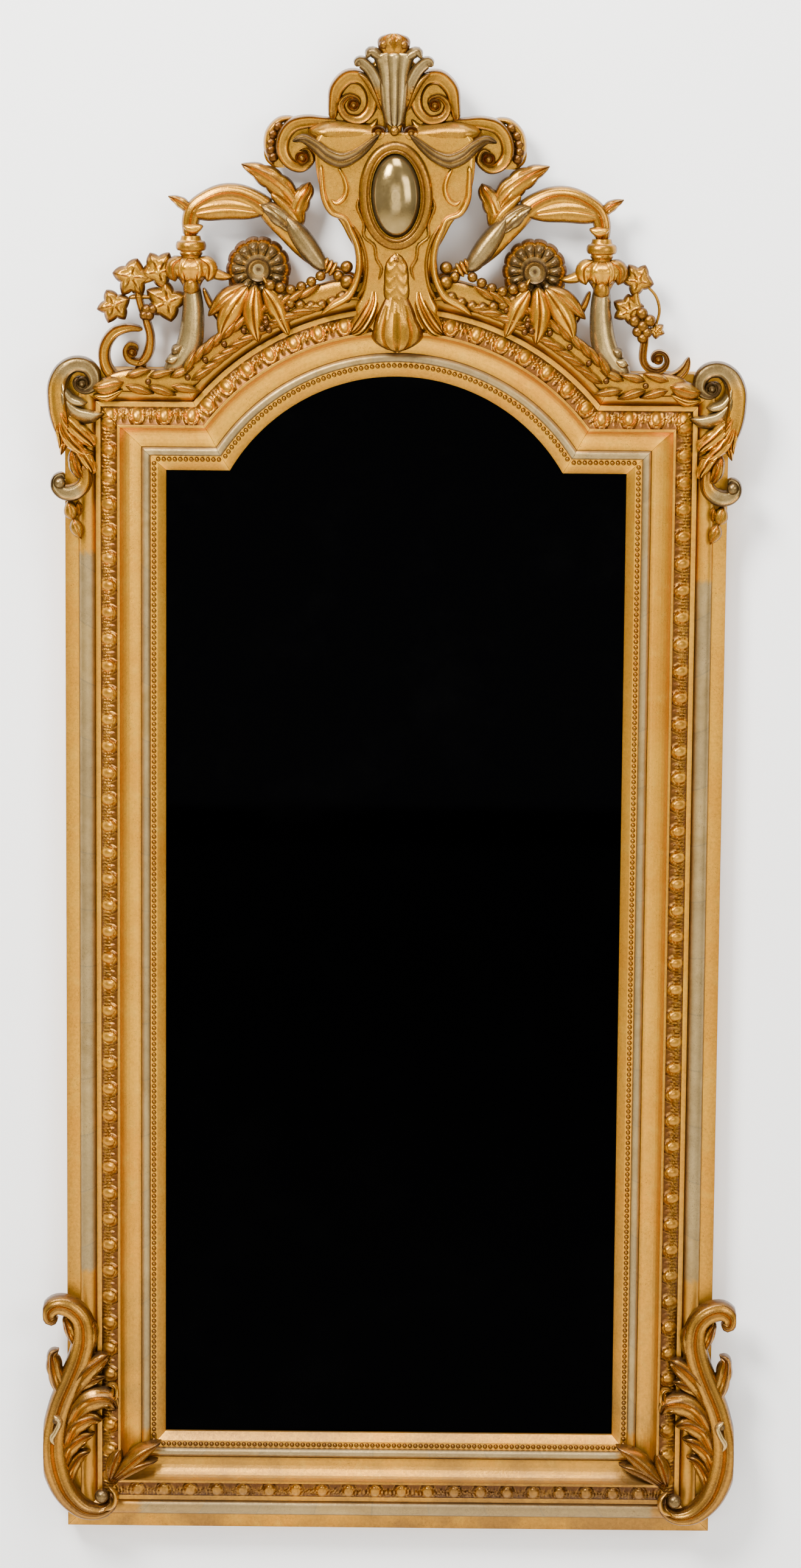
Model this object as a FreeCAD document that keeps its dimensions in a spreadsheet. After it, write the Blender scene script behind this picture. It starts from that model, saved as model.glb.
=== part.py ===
import FreeCAD, Part
import math
import os

import Sketcher
from FreeCAD import Placement, Rotation, Vector

# Trumeau (pier) mirror: a carcass of boards with an arched head, mitred mouldings with applied
# strips, a mirror plate held by blocks and backboards, and a carved openwork crest with corner
# scrolls.  Millimetres, +Z up, the front faces -Y, the wall is the plane Y = 0 and the foot is Z = 0.
# "Depth" is the distance from the wall, "across" the distance inward from the frame's outer edge,
# "rise" the height above the arch centre and "reach" the distance sideways from the middle.

os.makedirs("parts", exist_ok=True)
doc = FreeCAD.newDocument("TrumeauMirror")

SIZES = (
    ("overall_width", "943", "outer width of the carcass"),
    ("shoulder_height", "1706", "foot to the top of the square shoulders"),
    ("arch_centre_height", "1424", "foot to the centre of the arch"),
    ("sight_arch_radius", "274", "radius of the arched sight edge"),
    ("carcass_depth", "34", "thickness of the carcass boards"),
    ("fascia_width", "19", "flat outer face of the moulding"),
    ("fascia_rise", "4", "fascia above the carcass"),
    ("torus_width", "25.8", "outer half-round strip"),
    ("torus_rise", "13", "outer half-round strip above its seat"),
    ("outer_fillet_width", "6.7", "fillet outside the egg-and-dart"),
    ("outer_fillet_rise", "14", "that fillet above the fascia"),
    ("ovolo_width", "24.5", "egg-and-dart strip"),
    ("ovolo_edge_rise", "3", "outer edge of the egg-and-dart above its seat"),
    ("crown_width", "4", "highest fillet of the moulding"),
    ("crown_rise", "18", "highest fillet above the outer fillet"),
    ("ovolo_step", "1", "egg-and-dart below the highest fillet"),
    ("cove_width", "29", "hollow of the moulding"),
    ("cove_drop", "24", "depth of the hollow"),
    ("bed_step", "2", "each small step down toward the glass"),
    ("inner_strip_width", "13.6", "inner half-round strip"),
    ("inner_strip_rise", "6.8", "inner half-round strip above its seat"),
    ("pearl_bed_width", "9.4", "flat that carries the pearl string"),
    ("pearl_size", "6.6", "width of the pearl string"),
    ("pearl_rise", "3.2", "pearl string above its seat"),
    ("sight_width", "12", "sloped sight edge"),
    ("sight_drop", "10", "fall of the sight edge"),
    ("lip_thickness", "6", "wood in front of the glass"),
    ("lip_width", "10", "cover of the lip over the glass"),
    ("glass_thickness", "5", "mirror plate"),
    ("glass_clearance", "2", "gap between the plate's edge and the carcass"),
    ("backboard_thickness", "8", "pine backboards"),
    ("backboard_rebate", "10", "depth and width of the rebate for the backboards"),
    ("backboard_clearance", "1", "gap round and between the backboards"),
    ("block_length", "60", "glue block behind the glass"),
    ("block_width", "12", "glue block behind the glass"),
    ("tongue_width", "70", "loose tongue in each joint of the carcass"),
    ("tongue_length", "60", "loose tongue in each joint of the carcass"),
    ("tongue_thickness", "10", "loose tongue in each joint of the carcass"),
    ("tongue_depth", "17", "back of the tongues to the wall plane"),
    ("tongue_inset", "30", "outer edge of the frame to a tongue"),
    ("hanger_inset", "71.5", "hanging hole to the frame's outer edge"),
    ("hanger_drop", "206", "hanging holes below the square shoulders"),
    ("hanger_hole", "10", "diameter of a hanging hole"),
    ("hanger_width", "34", "iron hanger plate"),
    ("hanger_length", "96", "iron hanger plate"),
    ("hanger_thickness", "3", "iron hanger plate"),
    ("hanger_hole_inset", "22", "hanging hole to the plate's top end"),
    ("hook_space", "26", "width of the hollow behind a hanging hole"),
    ("hook_space_depth", "12", "depth of the hollow behind a hanging hole"),
    ("nail_size", "3.5", "width of the square cut nails"),
    ("nail_length", "20", "nails of the backboards and hangers"),
    ("brace_width", "70", "batten behind the crest"),
    ("brace_depth", "22", "batten behind the crest"),
    ("brace_lap", "100", "length of the batten housed in the head"),
    ("brace_height", "596", "arch centre to the top of the batten"),
    ("crest_nail_length", "52", "nails through the batten into the shield"),
    ("crest_front", "76", "face of the crest shield to the wall plane"),
)

LAYOUT = (
    ("half_width", "=Sizes.overall_width / 2"),
    ("frame_top", "=Sizes.shoulder_height"),
    ("zero", "=Sizes.overall_width * 0"),
    ("across_fascia", "=Sizes.fascia_width"),
    ("across_torus", "=across_fascia + Sizes.torus_width"),
    ("across_fillet", "=across_torus + Sizes.outer_fillet_width"),
    ("across_ovolo", "=across_fillet + Sizes.ovolo_width"),
    ("across_crown", "=across_ovolo + Sizes.crown_width"),
    ("across_cove", "=across_crown + Sizes.cove_width"),
    ("across_strip", "=across_cove + Sizes.inner_strip_width"),
    ("across_bed", "=across_strip + Sizes.pearl_bed_width"),
    ("across_sight", "=across_bed + Sizes.sight_width"),
    ("across_rebate", "=across_sight - Sizes.lip_width"),
    ("across_glass", "=across_rebate + Sizes.glass_clearance"),
    ("across_back", "=across_rebate - Sizes.backboard_rebate"),
    ("across_board", "=across_back + Sizes.backboard_clearance"),
    ("pearl_start", "=across_strip + (Sizes.pearl_bed_width - Sizes.pearl_size) / 2"),
    ("pearl_end", "=pearl_start + Sizes.pearl_size"),
    ("depth_carcass", "=Sizes.carcass_depth"),
    ("depth_fascia", "=depth_carcass + Sizes.fascia_rise"),
    ("depth_torus", "=depth_fascia + Sizes.torus_rise"),
    ("depth_fillet", "=depth_fascia + Sizes.outer_fillet_rise"),
    ("depth_ovolo_edge", "=depth_fillet + Sizes.ovolo_edge_rise"),
    ("depth_crown", "=depth_fillet + Sizes.crown_rise"),
    ("depth_ovolo", "=depth_crown - Sizes.ovolo_step"),
    ("depth_cove", "=depth_crown - Sizes.cove_drop"),
    ("depth_strip_bed", "=depth_cove - Sizes.bed_step"),
    ("depth_strip", "=depth_strip_bed + Sizes.inner_strip_rise"),
    ("depth_pearl_bed", "=depth_strip_bed - Sizes.bed_step"),
    ("depth_pearl", "=depth_pearl_bed + Sizes.pearl_rise"),
    ("depth_sight", "=depth_pearl_bed - Sizes.sight_drop"),
    ("depth_glass", "=depth_sight - Sizes.lip_thickness"),
    ("depth_plate_back", "=depth_glass - Sizes.glass_thickness"),
    ("depth_rebate", "=Sizes.backboard_rebate"),
    ("depth_board", "=depth_rebate - Sizes.backboard_thickness"),
    ("outer_arch", "=Sizes.sight_arch_radius + across_sight"),
    ("arch_height", "=Sizes.arch_centre_height"),
    ("arch_top", "=arch_height + outer_arch"),
    ("sight_shoulder", "=frame_top - across_sight"),
    ("rebate_shoulder", "=frame_top - across_rebate"),
    ("back_shoulder", "=frame_top - across_back"),
    ("hanger_reach", "=half_width - Sizes.hanger_inset"),
    ("hanger_height", "=frame_top - Sizes.hanger_drop"),
    ("region_depth", "=depth_crown * 2"),
    ("region_top", "=arch_top * 1.1"),
)


def make_sheet(name, rows):
    """Spreadsheet with one alias a row."""
    sheet = doc.addObject("Spreadsheet::Sheet", name)
    for number, row in enumerate(rows, start=1):
        sheet.set("A%d" % number, row[-1] if len(row) == 3 else row[0].replace("_", " "))
        sheet.set("B%d" % number, row[1])
        sheet.setAlias("B%d" % number, row[0])
    doc.recompute()
    return sheet


sizes = make_sheet("Sizes", SIZES)
layout = make_sheet("Layout", LAYOUT)


class Size:
    """A number together with the sheet expression that gives it."""

    def __init__(self, text, number):
        self.text = text
        self.number = number

    def __neg__(self):
        return Size("-(%s)" % self.text, -self.number)

    def __add__(self, other):
        return Size("(%s) + (%s)" % (self.text, other.text), self.number + other.number)

    def __sub__(self, other):
        return Size("(%s) - (%s)" % (self.text, other.text), self.number - other.number)

    def times(self, factor):
        return Size("(%s) * %g" % (self.text, factor), self.number * factor)

    def chord(self, height):
        """Half chord of a circle with this radius at a height from its centre."""
        text = "sqrt((%s)^2 - (%s)^2)" % (self.text, height.text)
        return Size(text, math.sqrt(self.number ** 2 - height.number ** 2))


def size(alias):
    """Size of an alias of either sheet."""
    sheet = sizes if any(alias == row[0] for row in SIZES) else layout
    return Size("%s.%s" % (sheet.Name, alias), float(getattr(sheet, alias)))


def mean(first, second, share=0.5):
    """Size between two others."""
    return first.times(1 - share) + second.times(share)


ZERO = size("zero")
HALF = size("half_width")
TOP = size("frame_top")
ARCH = size("arch_height")
OUTER_ARCH = size("outer_arch")

# ---------------------------------------------------------------- sketches and features

FRONT_VIEW = Rotation(Vector(1, 0, 0), 90)   # sketch x, y become X, Z
SIDE_VIEW = Rotation(Vector(1, 1, 1), 120)   # sketch x, y become Y, Z
FORWARD = Vector(0, -1, 0)


def counter_clockwise_arc(start, via, end):
    """Arc through three points as Sketcher keeps it, and whether it runs from end to start."""
    circle = Part.Arc(start, via, end).toShape().Curve
    centre = circle.Center
    first = math.atan2(start.y - centre.y, start.x - centre.x)
    last = math.atan2(end.y - centre.y, end.x - centre.x)
    middle = math.atan2(via.y - centre.y, via.x - centre.x)
    swapped = (middle - first) % (2 * math.pi) > (last - first) % (2 * math.pi)
    if swapped:
        first, last = last, first
    plain = Part.Circle(centre, Vector(0, 0, 1), circle.Radius)
    return Part.ArcOfCircle(plain, first, last), swapped


def pin(sketch, geometry, point, x, y):
    """Hold a point of the sketch at two sizes of the sheet."""
    for kind, value in (("DistanceX", x), ("DistanceY", y)):
        index = sketch.addConstraint(Sketcher.Constraint(kind, -1, 1, geometry, point, value.number))
        sketch.setExpression("Constraints[%d]" % index, value.text)


def closed_sketch(name, corners, rotation=Rotation()):
    """Sketch through corners (x, y, via): via is None for a line on to the next corner,
    or the point that an arc passes."""
    sketch = doc.addObject("Sketcher::SketchObject", name)
    sketch.Placement = Placement(Vector(), rotation)
    ends = []
    for index, (x, y, via) in enumerate(corners):
        next_x, next_y, _ = corners[(index + 1) % len(corners)]
        start = Vector(x.number, y.number, 0)
        end = Vector(next_x.number, next_y.number, 0)
        if via is None:
            edge, swapped = Part.LineSegment(start, end), False
        else:
            edge, swapped = counter_clockwise_arc(start, Vector(via[0].number, via[1].number, 0), end)
        geometry = sketch.addGeometry(edge)
        ends.append((geometry, 2 if swapped else 1, 1 if swapped else 2))
    for index, (x, y, via) in enumerate(corners):
        geometry, first, last = ends[index]
        following, following_first, _ = ends[(index + 1) % len(corners)]
        joint = Sketcher.Constraint("Coincident", geometry, last, following, following_first)
        sketch.addConstraint(joint)
        pin(sketch, geometry, first, x, y)
        if via is not None:
            guide = sketch.addGeometry(Part.Point(Vector(via[0].number, via[1].number, 0)), True)
            sketch.addConstraint(Sketcher.Constraint("PointOnObject", guide, 1, geometry))
            pin(sketch, guide, 1, via[0], via[1])
    return sketch


def extruded(name, sketch, direction, forward, backward=None):
    """Solid of a sketch pushed along a direction."""
    solid = doc.addObject("Part::Extrusion", name)
    solid.Base = sketch
    solid.DirMode = "Custom"
    solid.Dir = direction
    solid.Solid = True
    solid.setExpression("LengthFwd", forward.text)
    if backward is not None:
        solid.setExpression("LengthRev", backward.text)
    return solid


def plate(name, corners, depth_from, depth_to):
    """Front-view outline made solid between two depths."""
    sketch = closed_sketch(name + "Outline", corners, FRONT_VIEW)
    sketch.setExpression("Placement.Base.y", (-depth_from).text)
    return extruded(name, sketch, FORWARD, depth_to - depth_from)


def combined(kind, name, base, tool):
    """Boolean of two objects."""
    result = doc.addObject(kind, name)
    result.Base = base
    result.Tool = tool
    return result


def compound(name, members):
    """Several solids as one node."""
    group = doc.addObject("Part::Compound", name)
    group.Links = members
    return group


def mirrored(name, source):
    """The same piece on the other side of the middle."""
    copy = doc.addObject("Part::Mirroring", name)
    copy.Source = source
    copy.Normal = Vector(1, 0, 0)
    return copy


def round_bar(name, x, depth, z, diameter, length, rotation):
    """Cylinder bound to the sheet, its axis along Z before the rotation."""
    bar = doc.addObject("Part::Cylinder", name)
    bar.Placement = Placement(Vector(), rotation)
    bar.setExpression("Radius", diameter.times(0.5).text)
    bar.setExpression("Height", length.text)
    bar.setExpression("Placement.Base.x", x.text)
    bar.setExpression("Placement.Base.y", (-depth).text)
    bar.setExpression("Placement.Base.z", z.text)
    return bar


def block(name, x, depth, z, width, thickness, height):
    """Box bound to the sheet: x, z and depth give its lowest corner, nearest the wall."""
    box = doc.addObject("Part::Box", name)
    box.setExpression("Length", width.text)
    box.setExpression("Width", thickness.text)
    box.setExpression("Height", height.text)
    box.setExpression("Placement.Base.x", x.text)
    box.setExpression("Placement.Base.y", (-(depth + thickness)).text)
    box.setExpression("Placement.Base.z", z.text)
    return box


def finished(label, feature):
    """Name the object that is a node of its own."""
    feature.Label = label
    NODES.append(feature)
    return feature


NODES = []

# ---------------------------------------------------------------- window outlines


def window_corners(across):
    """Outline of the frame, the glass or the boards: square shoulders under an arch."""
    half = HALF - across
    shoulder = TOP - across
    radius = OUTER_ARCH - across
    spring = radius.chord(shoulder - ARCH)
    crown = (ZERO, ARCH + radius)
    return [
        (-half, across, None),
        (half, across, None),
        (half, shoulder, None),
        (spring, shoulder, crown),
        (-spring, shoulder, None),
        (-half, shoulder, None),
    ]


def head_corners(across):
    """Outline of the head board: the frame's top with the window cut out of its lower edge."""
    floor = size("rebate_shoulder")
    half = HALF - across
    shoulder = TOP - across
    radius = OUTER_ARCH - across
    spring = radius.chord(shoulder - ARCH)
    outer_spring = OUTER_ARCH.chord(TOP - ARCH)
    corners = [
        (HALF, floor, None),
        (HALF, TOP, None),
        (outer_spring, TOP, (ZERO, ARCH + OUTER_ARCH)),
        (-outer_spring, TOP, None),
        (-HALF, TOP, None),
        (-HALF, floor, None),
    ]
    inner = [(-spring, shoulder, (ZERO, ARCH + radius)), (spring, shoulder, None)]
    if shoulder.number > floor.number:
        inner = [(-half, floor, None), (-half, shoulder, None)] + inner
        inner += [(half, shoulder, None), (half, floor, None)]
    return corners + inner


# ---------------------------------------------------------------- carcass

HANGER_X = size("hanger_reach")
TO_FRONT = Rotation(Vector(1, 0, 0), 90)


def cut_nail(name, x, depth, z, length):
    """Square nail driven from the back, its head end at a depth."""
    half = size("nail_size").times(0.5)
    return block(name, x - half, depth, z - half, size("nail_size"), length, size("nail_size"))


def tongue_set():
    """Four loose tongues, one in each joint of the stiles."""
    tongues = []
    width = size("tongue_width")
    left = size("tongue_inset") - HALF
    for joint, height in (("Low", size("across_rebate")), ("High", size("rebate_shoulder"))):
        foot = height - size("tongue_length").times(0.5)
        for place, x in (("Left", left), ("Right", -left - width)):
            tongues.append(block("Tongue" + joint + place, x, size("tongue_depth"), foot, width,
                                 size("tongue_thickness"), size("tongue_length")))
    return compound("CarcassTongues", tongues)


def backboard_nails():
    """Nails that hold the backboards in their rebates."""
    edge = HALF - size("across_back") - size("backboard_rebate").times(0.5)
    low = size("across_rebate") - size("backboard_rebate").times(0.5)
    span = size("sight_shoulder") - size("across_sight")
    places = []
    for share in (0.1, 0.37, 0.63, 0.9):
        height = size("across_sight") + span.times(share)
        places += [(-edge, height), (edge, height)]
    for share in (-0.75, -0.25, 0.25, 0.75):
        places.append((edge.times(share), low))
    nails = []
    for index, (x, z) in enumerate(places):
        nails.append(cut_nail("BoardNail%d" % index, x, size("depth_board"), z, size("nail_length")))
    return compound("BoardNails", nails)


def hanger_nails():
    """Two nails below each hanging hole."""
    nails = []
    pitch = (size("hanger_length") - size("hanger_hole_inset")).times(0.4)
    for side in (-1, 1):
        for step in (1, 2):
            z = size("hanger_height") - pitch.times(step)
            nails.append(cut_nail("HangerNail%d%d" % (side + 1, step), HANGER_X.times(side), ZERO, z,
                                  size("nail_length")))
    return compound("HangerNails", nails)


def hanger_plates():
    """Iron plates let into the back of the stiles, each with a hanging hole."""
    plates = []
    holes = []
    for side, place in ((-1, "Left"), (1, "Right")):
        x = HANGER_X.times(side) - size("hanger_width").times(0.5)
        z = size("hanger_height") + size("hanger_hole_inset") - size("hanger_length")
        plates.append(block("HangerBlank" + place, x, ZERO, z, size("hanger_width"),
                            size("hanger_thickness"), size("hanger_length")))
        holes.append(round_bar("HangerHole" + place, HANGER_X.times(side), ZERO, size("hanger_height"),
                               size("hanger_hole"), size("hanger_thickness"), TO_FRONT))
    return compound("HangerBlanks", plates), compound("HangerHoles", holes)


def hook_spaces():
    """Hollows in the stiles behind the hanging holes."""
    hollows = []
    width = size("hook_space")
    for side, place in ((-1, "Left"), (1, "Right")):
        x = HANGER_X.times(side) - width.times(0.5)
        hollows.append(block("HookSpace" + place, x, size("hanger_thickness"),
                             size("hanger_height") - width.times(0.5), width,
                             size("hook_space_depth"), width))
    return compound("HookSpaces", hollows)


def two_layer_board(name, rear, front):
    """Board whose rear layer stands back to leave the rebate for the backboards."""
    back = plate(name + "Rear", rear, ZERO, size("depth_rebate"))
    face = plate(name + "Front", front, size("depth_rebate"), size("depth_carcass"))
    return combined("Part::Fuse", name + "Blank", back, face)


def rectangle(x_from, x_to, z_from, z_to):
    """Corners of a rectangle in the front view."""
    return [(x_from, z_from, None), (x_to, z_from, None), (x_to, z_to, None), (x_from, z_to, None)]


def build_carcass():
    """Base board, two stiles and the arched head, butted with loose tongues."""
    tongues = tongue_set()
    board_nails = backboard_nails()
    plate_nails = hanger_nails()
    blanks, holes = hanger_plates()
    hollows = hook_spaces()
    fittings = compound("StileFittings", [tongues, board_nails, plate_nails, blanks, hollows])

    rebate = size("across_rebate")
    back = size("across_back")
    high = size("rebate_shoulder")
    base_rear = [
        (-HALF, ZERO, None), (HALF, ZERO, None), (HALF, rebate, None), (HALF - back, rebate, None),
        (HALF - back, back, None), (back - HALF, back, None), (back - HALF, rebate, None),
        (-HALF, rebate, None),
    ]
    base = two_layer_board("Base", base_rear, rectangle(-HALF, HALF, ZERO, rebate))
    finished("carcass_base", combined("Part::Cut", "CarcassBase", base, fittings))

    stile = two_layer_board("Stile", rectangle(-HALF, back - HALF, rebate, high),
                            rectangle(-HALF, rebate - HALF, rebate, high))
    finished("carcass_stile_left", combined("Part::Cut", "StileLeft", stile, fittings))
    right = mirrored("StileRightBlank", stile)
    finished("carcass_stile_right", combined("Part::Cut", "StileRight", right, fittings))

    head = two_layer_board("Head", head_corners(back), head_corners(rebate))
    housing = crest_brace_blank("Housing")
    cut_head = combined("Part::Cut", "HeadHoused", head, housing)
    head_fittings = compound("HeadFittings", [tongues, crest_nails("HeadNailHole")])
    finished("carcass_head", combined("Part::Cut", "CarcassHead", cut_head, head_fittings))

    finished("carcass_tongues", tongues)
    finished("backboard_nails", board_nails)
    plates = combined("Part::Cut", "HangerDrilled", blanks, holes)
    finished("hanger_plates", combined("Part::Cut", "HangerPlates", plates, plate_nails))
    finished("hanger_nails", plate_nails)
    return board_nails


# ---------------------------------------------------------------- glass, blocks and backboards


def build_glazing(board_nails):
    """Mirror plate, the blocks behind it and three upright backboards."""
    glass = plate("MirrorPlate", window_corners(size("across_glass")), size("depth_plate_back"),
                  size("depth_glass"))
    finished("mirror_plate", glass)

    blocks = []
    length = size("block_length")
    width = size("block_width")
    thickness = size("depth_plate_back") - size("depth_rebate")
    inner = HALF - size("across_rebate")
    span = size("sight_shoulder") - size("across_sight")
    for index, share in enumerate((0.12, 0.37, 0.62, 0.87)):
        foot = size("across_sight") + span.times(share)
        blocks.append(block("BlockLeft%d" % index, -inner, size("depth_rebate"), foot, width,
                            thickness, length))
        blocks.append(block("BlockRight%d" % index, inner - width, size("depth_rebate"), foot, width,
                            thickness, length))
    for index, share in enumerate((-0.6, 0.0, 0.6)):
        side = inner.times(share) - length.times(0.5)
        blocks.append(block("BlockLow%d" % index, side, size("depth_rebate"), size("across_rebate"),
                            length, thickness, width))
    for index, share in enumerate((-0.86, 0.86)):
        side = inner.times(share) - length.times(0.5)
        blocks.append(block("BlockHigh%d" % index, side, size("depth_rebate"),
                            size("rebate_shoulder") - width, length, thickness, width))
    finished("glass_blocks", compound("GlassBlocks", blocks))

    board = plate("Backboards", window_corners(size("across_board")), size("depth_board"),
                  size("depth_rebate"))
    board = combined("Part::Cut", "BackboardsNailed", board, board_nails)
    half = HALF - size("across_board")
    gap = size("backboard_clearance").times(0.5)
    third = half.times(1 / 3)
    spans = (("left", -half, -third - gap), ("centre", -third + gap, third - gap),
             ("right", third + gap, half))
    for place, x_from, x_to in spans:
        cutter = plate("Plank" + place.title(), rectangle(x_from, x_to, ZERO, size("region_top")), ZERO,
                       size("depth_rebate"))
        plank = combined("Part::Common", "Backboard" + place.title(), board, cutter)
        finished("backboard_" + place, plank)


# ---------------------------------------------------------------- mouldings and strips


def moulding_profile():
    """Section of the main moulding as (across, depth, via)."""
    hollow = (mean(size("across_crown"), size("across_cove"), 0.28),
              mean(size("depth_cove"), size("depth_crown"), 0.28))
    return [
        (ZERO, size("depth_carcass"), None),
        (ZERO, size("depth_fascia"), None),
        (size("across_torus"), size("depth_fascia"), None),
        (size("across_torus"), size("depth_fillet"), None),
        (size("across_ovolo"), size("depth_fillet"), None),
        (size("across_ovolo"), size("depth_crown"), None),
        (size("across_crown"), size("depth_crown"), hollow),
        (size("across_cove"), size("depth_cove"), None),
        (size("across_cove"), size("depth_strip_bed"), None),
        (size("across_strip"), size("depth_strip_bed"), None),
        (size("across_strip"), size("depth_pearl_bed"), None),
        (size("across_bed"), size("depth_pearl_bed"), None),
        (size("across_sight"), size("depth_sight"), None),
        (size("across_sight"), size("depth_glass"), None),
        (size("across_rebate"), size("depth_glass"), None),
        (size("across_rebate"), size("depth_carcass"), None),
    ]


def half_round(start, end, seat, peak):
    """Section of a half-round strip, cut in four flats."""
    low = mean(seat, peak, 0.72)
    return [
        (start, seat, None),
        (mean(start, end, 0.14), low, None),
        (mean(start, end), peak, None),
        (mean(start, end, 0.86), low, None),
        (end, seat, None),
    ]


def ovolo_profile():
    """Section of the egg-and-dart strip: a quarter round that swells toward the crown fillet."""
    start = size("across_fillet")
    end = size("across_ovolo")
    swell = (mean(start, end, 0.4), mean(size("depth_ovolo_edge"), size("depth_ovolo"), 0.72))
    return [
        (start, size("depth_fillet"), None),
        (start, size("depth_ovolo_edge"), swell),
        (end, size("depth_ovolo"), None),
        (end, size("depth_fillet"), None),
    ]


def pearl_profile():
    """Section that stands for the string of pearls."""
    start = size("pearl_start")
    end = size("pearl_end")
    return [
        (start, size("depth_pearl_bed"), None),
        (mean(start, end, 0.25), size("depth_pearl"), None),
        (mean(start, end, 0.75), size("depth_pearl"), None),
        (end, size("depth_pearl_bed"), None),
    ]


def mapped(profile, place):
    """Profile with each (across, depth) turned into sketch coordinates by place."""
    corners = []
    for across, depth, via in profile:
        x, y = place(across, depth)
        corners.append((x, y, None if via is None else place(*via)))
    return corners


def mitre_regions():
    """Blocks that bound each member of the frame at its mitres."""
    sight = size("across_sight")
    inner = HALF - sight
    low_in = size("sight_shoulder")
    spring_in = size("sight_arch_radius").chord(low_in - ARCH)
    spring_out = OUTER_ARCH.chord(TOP - ARCH)
    outlines = {
        "left": [(-HALF, ZERO, None), (-inner, sight, None), (-inner, low_in, None), (-HALF, TOP, None)],
        "bottom": [(-HALF, ZERO, None), (HALF, ZERO, None), (inner, sight, None), (-inner, sight, None)],
        "shoulder": [(-HALF, TOP, None), (-inner, low_in, None), (-spring_in, low_in, None),
                     (-spring_out, TOP, None)],
        "arch": [(-spring_in, low_in, None), (spring_in, low_in, None), (spring_out, TOP, None),
                 (HALF, size("region_top"), None), (-HALF, size("region_top"), None),
                 (-spring_out, TOP, None)],
    }
    regions = {}
    for run, corners in outlines.items():
        regions[run] = plate("Region" + run.title(), corners, ZERO, size("region_depth"))
    return regions


def frame_member(kind, run, profile, region):
    """One straight or arched length of a profile, cut at its mitres."""
    name = kind + run.title()
    if run == "left":
        sketch = closed_sketch(name + "Profile", mapped(profile, lambda a, d: (a - HALF, -d)))
        length = extruded(name + "Length", sketch, Vector(0, 0, 1), TOP)
    elif run == "bottom":
        sketch = closed_sketch(name + "Profile", mapped(profile, lambda a, d: (-d, a)), SIDE_VIEW)
        length = extruded(name + "Length", sketch, Vector(1, 0, 0), HALF, HALF)
    elif run == "shoulder":
        sketch = closed_sketch(name + "Profile", mapped(profile, lambda a, d: (-d, TOP - a)), SIDE_VIEW)
        length = extruded(name + "Length", sketch, Vector(-1, 0, 0), HALF)
    else:
        corners = mapped(profile, lambda a, d: (-d, OUTER_ARCH - a + ARCH))
        sketch = closed_sketch(name + "Profile", corners, SIDE_VIEW)
        length = doc.addObject("Part::Revolution", name + "Length")
        length.Source = sketch
        length.Axis = Vector(0, 1, 0)
        length.setExpression("Base.z", ARCH.text)
        length.Angle = 360
        length.Solid = True
    return combined("Part::Common", name, length, region)


def build_members():
    """The main moulding in six mitred lengths and the strips applied to it."""
    profiles = {
        "Moulding": moulding_profile(),
        "OuterBaguette": half_round(size("across_fascia"), size("across_torus"), size("depth_fascia"),
                                    size("depth_torus")),
        "EggAndDart": ovolo_profile(),
        "InnerBaguette": half_round(size("across_cove"), size("across_strip"),
                                    size("depth_strip_bed"), size("depth_strip")),
        "Pearls": pearl_profile(),
    }
    labels = {"OuterBaguette": "outer_baguette", "EggAndDart": "egg_and_dart",
              "InnerBaguette": "inner_baguette"}
    regions = mitre_regions()
    for kind, profile in profiles.items():
        member = {run: frame_member(kind, run, profile, regions[run]) for run in regions}
        member["right"] = mirrored(kind + "Right", member["left"])
        member["other_shoulder"] = mirrored(kind + "OtherShoulder", member["shoulder"])
        head = [member["shoulder"], member["arch"], member["other_shoulder"]]
        if kind == "Moulding":
            for run in ("left", "right", "bottom", "arch"):
                finished("moulding_" + run, member[run])
            finished("moulding_shoulder_left", member["shoulder"])
            finished("moulding_shoulder_right", member["other_shoulder"])
        elif kind == "Pearls":
            sides = [member["left"], member["right"], member["bottom"]]
            finished("pearl_strings", compound("PearlStrings", sides + head))
        else:
            for run in ("left", "right", "bottom"):
                finished(labels[kind] + "_" + run, member[run])
            finished(labels[kind] + "_head", compound(kind + "Head", head))


# ---------------------------------------------------------------- batten behind the crest


def crest_brace_blank(name):
    """Upright batten let into the back of the head."""
    width = size("brace_width")
    foot = ARCH + OUTER_ARCH - size("brace_lap")
    height = ARCH + size("brace_height") - foot
    return block(name, -width.times(0.5), ZERO, foot, width, size("brace_depth"), height)


def crest_nails(name):
    """One nail into the head and two into the shield."""
    lap = size("brace_lap")
    foot = ARCH + OUTER_ARCH - lap
    nails = []
    for index, (share, length) in enumerate(((0.5, "carcass_depth"), (1.4, "crest_nail_length"),
                                             (2.2, "crest_nail_length"))):
        nails.append(cut_nail("%s%d" % (name, index), ZERO, ZERO, foot + lap.times(share), size(length)))
    return compound(name, nails)


# ---------------------------------------------------------------- carved ornament

# The carvings are drawn beside the arch centre as (reach, rise), at the size of an arch whose outer
# radius is CARVED_ARCH, and grow with the real one.  Corner carvings are drawn as (inward, rise).
CARVED_ARCH = 418.0
SCALE = OUTER_ARCH.number / CARVED_ARCH
CREST_FRONT = size("crest_front").number
CREST_BACK = size("brace_depth").number
SEAT = size("depth_fillet").number


FREE_REACH = 300.0
EDGE_REACH = 471.5
STRETCH = (HALF.number - FREE_REACH * SCALE) / (EDGE_REACH - FREE_REACH)


def crest_place(side):
    """Map (reach, rise) of the crest to x and z: what stands on the shoulders follows the width."""
    def place(reach, rise):
        near = min(reach, FREE_REACH) * SCALE
        beyond = max(reach - FREE_REACH, 0.0) * STRETCH
        return side * (near + beyond), ARCH.number + rise * SCALE
    return place


def corner_place(side, height):
    """Map (inward, rise) beside an outer corner at a height to x and z."""
    return lambda inward, rise: (side * (HALF.number - inward), height + rise)


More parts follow.
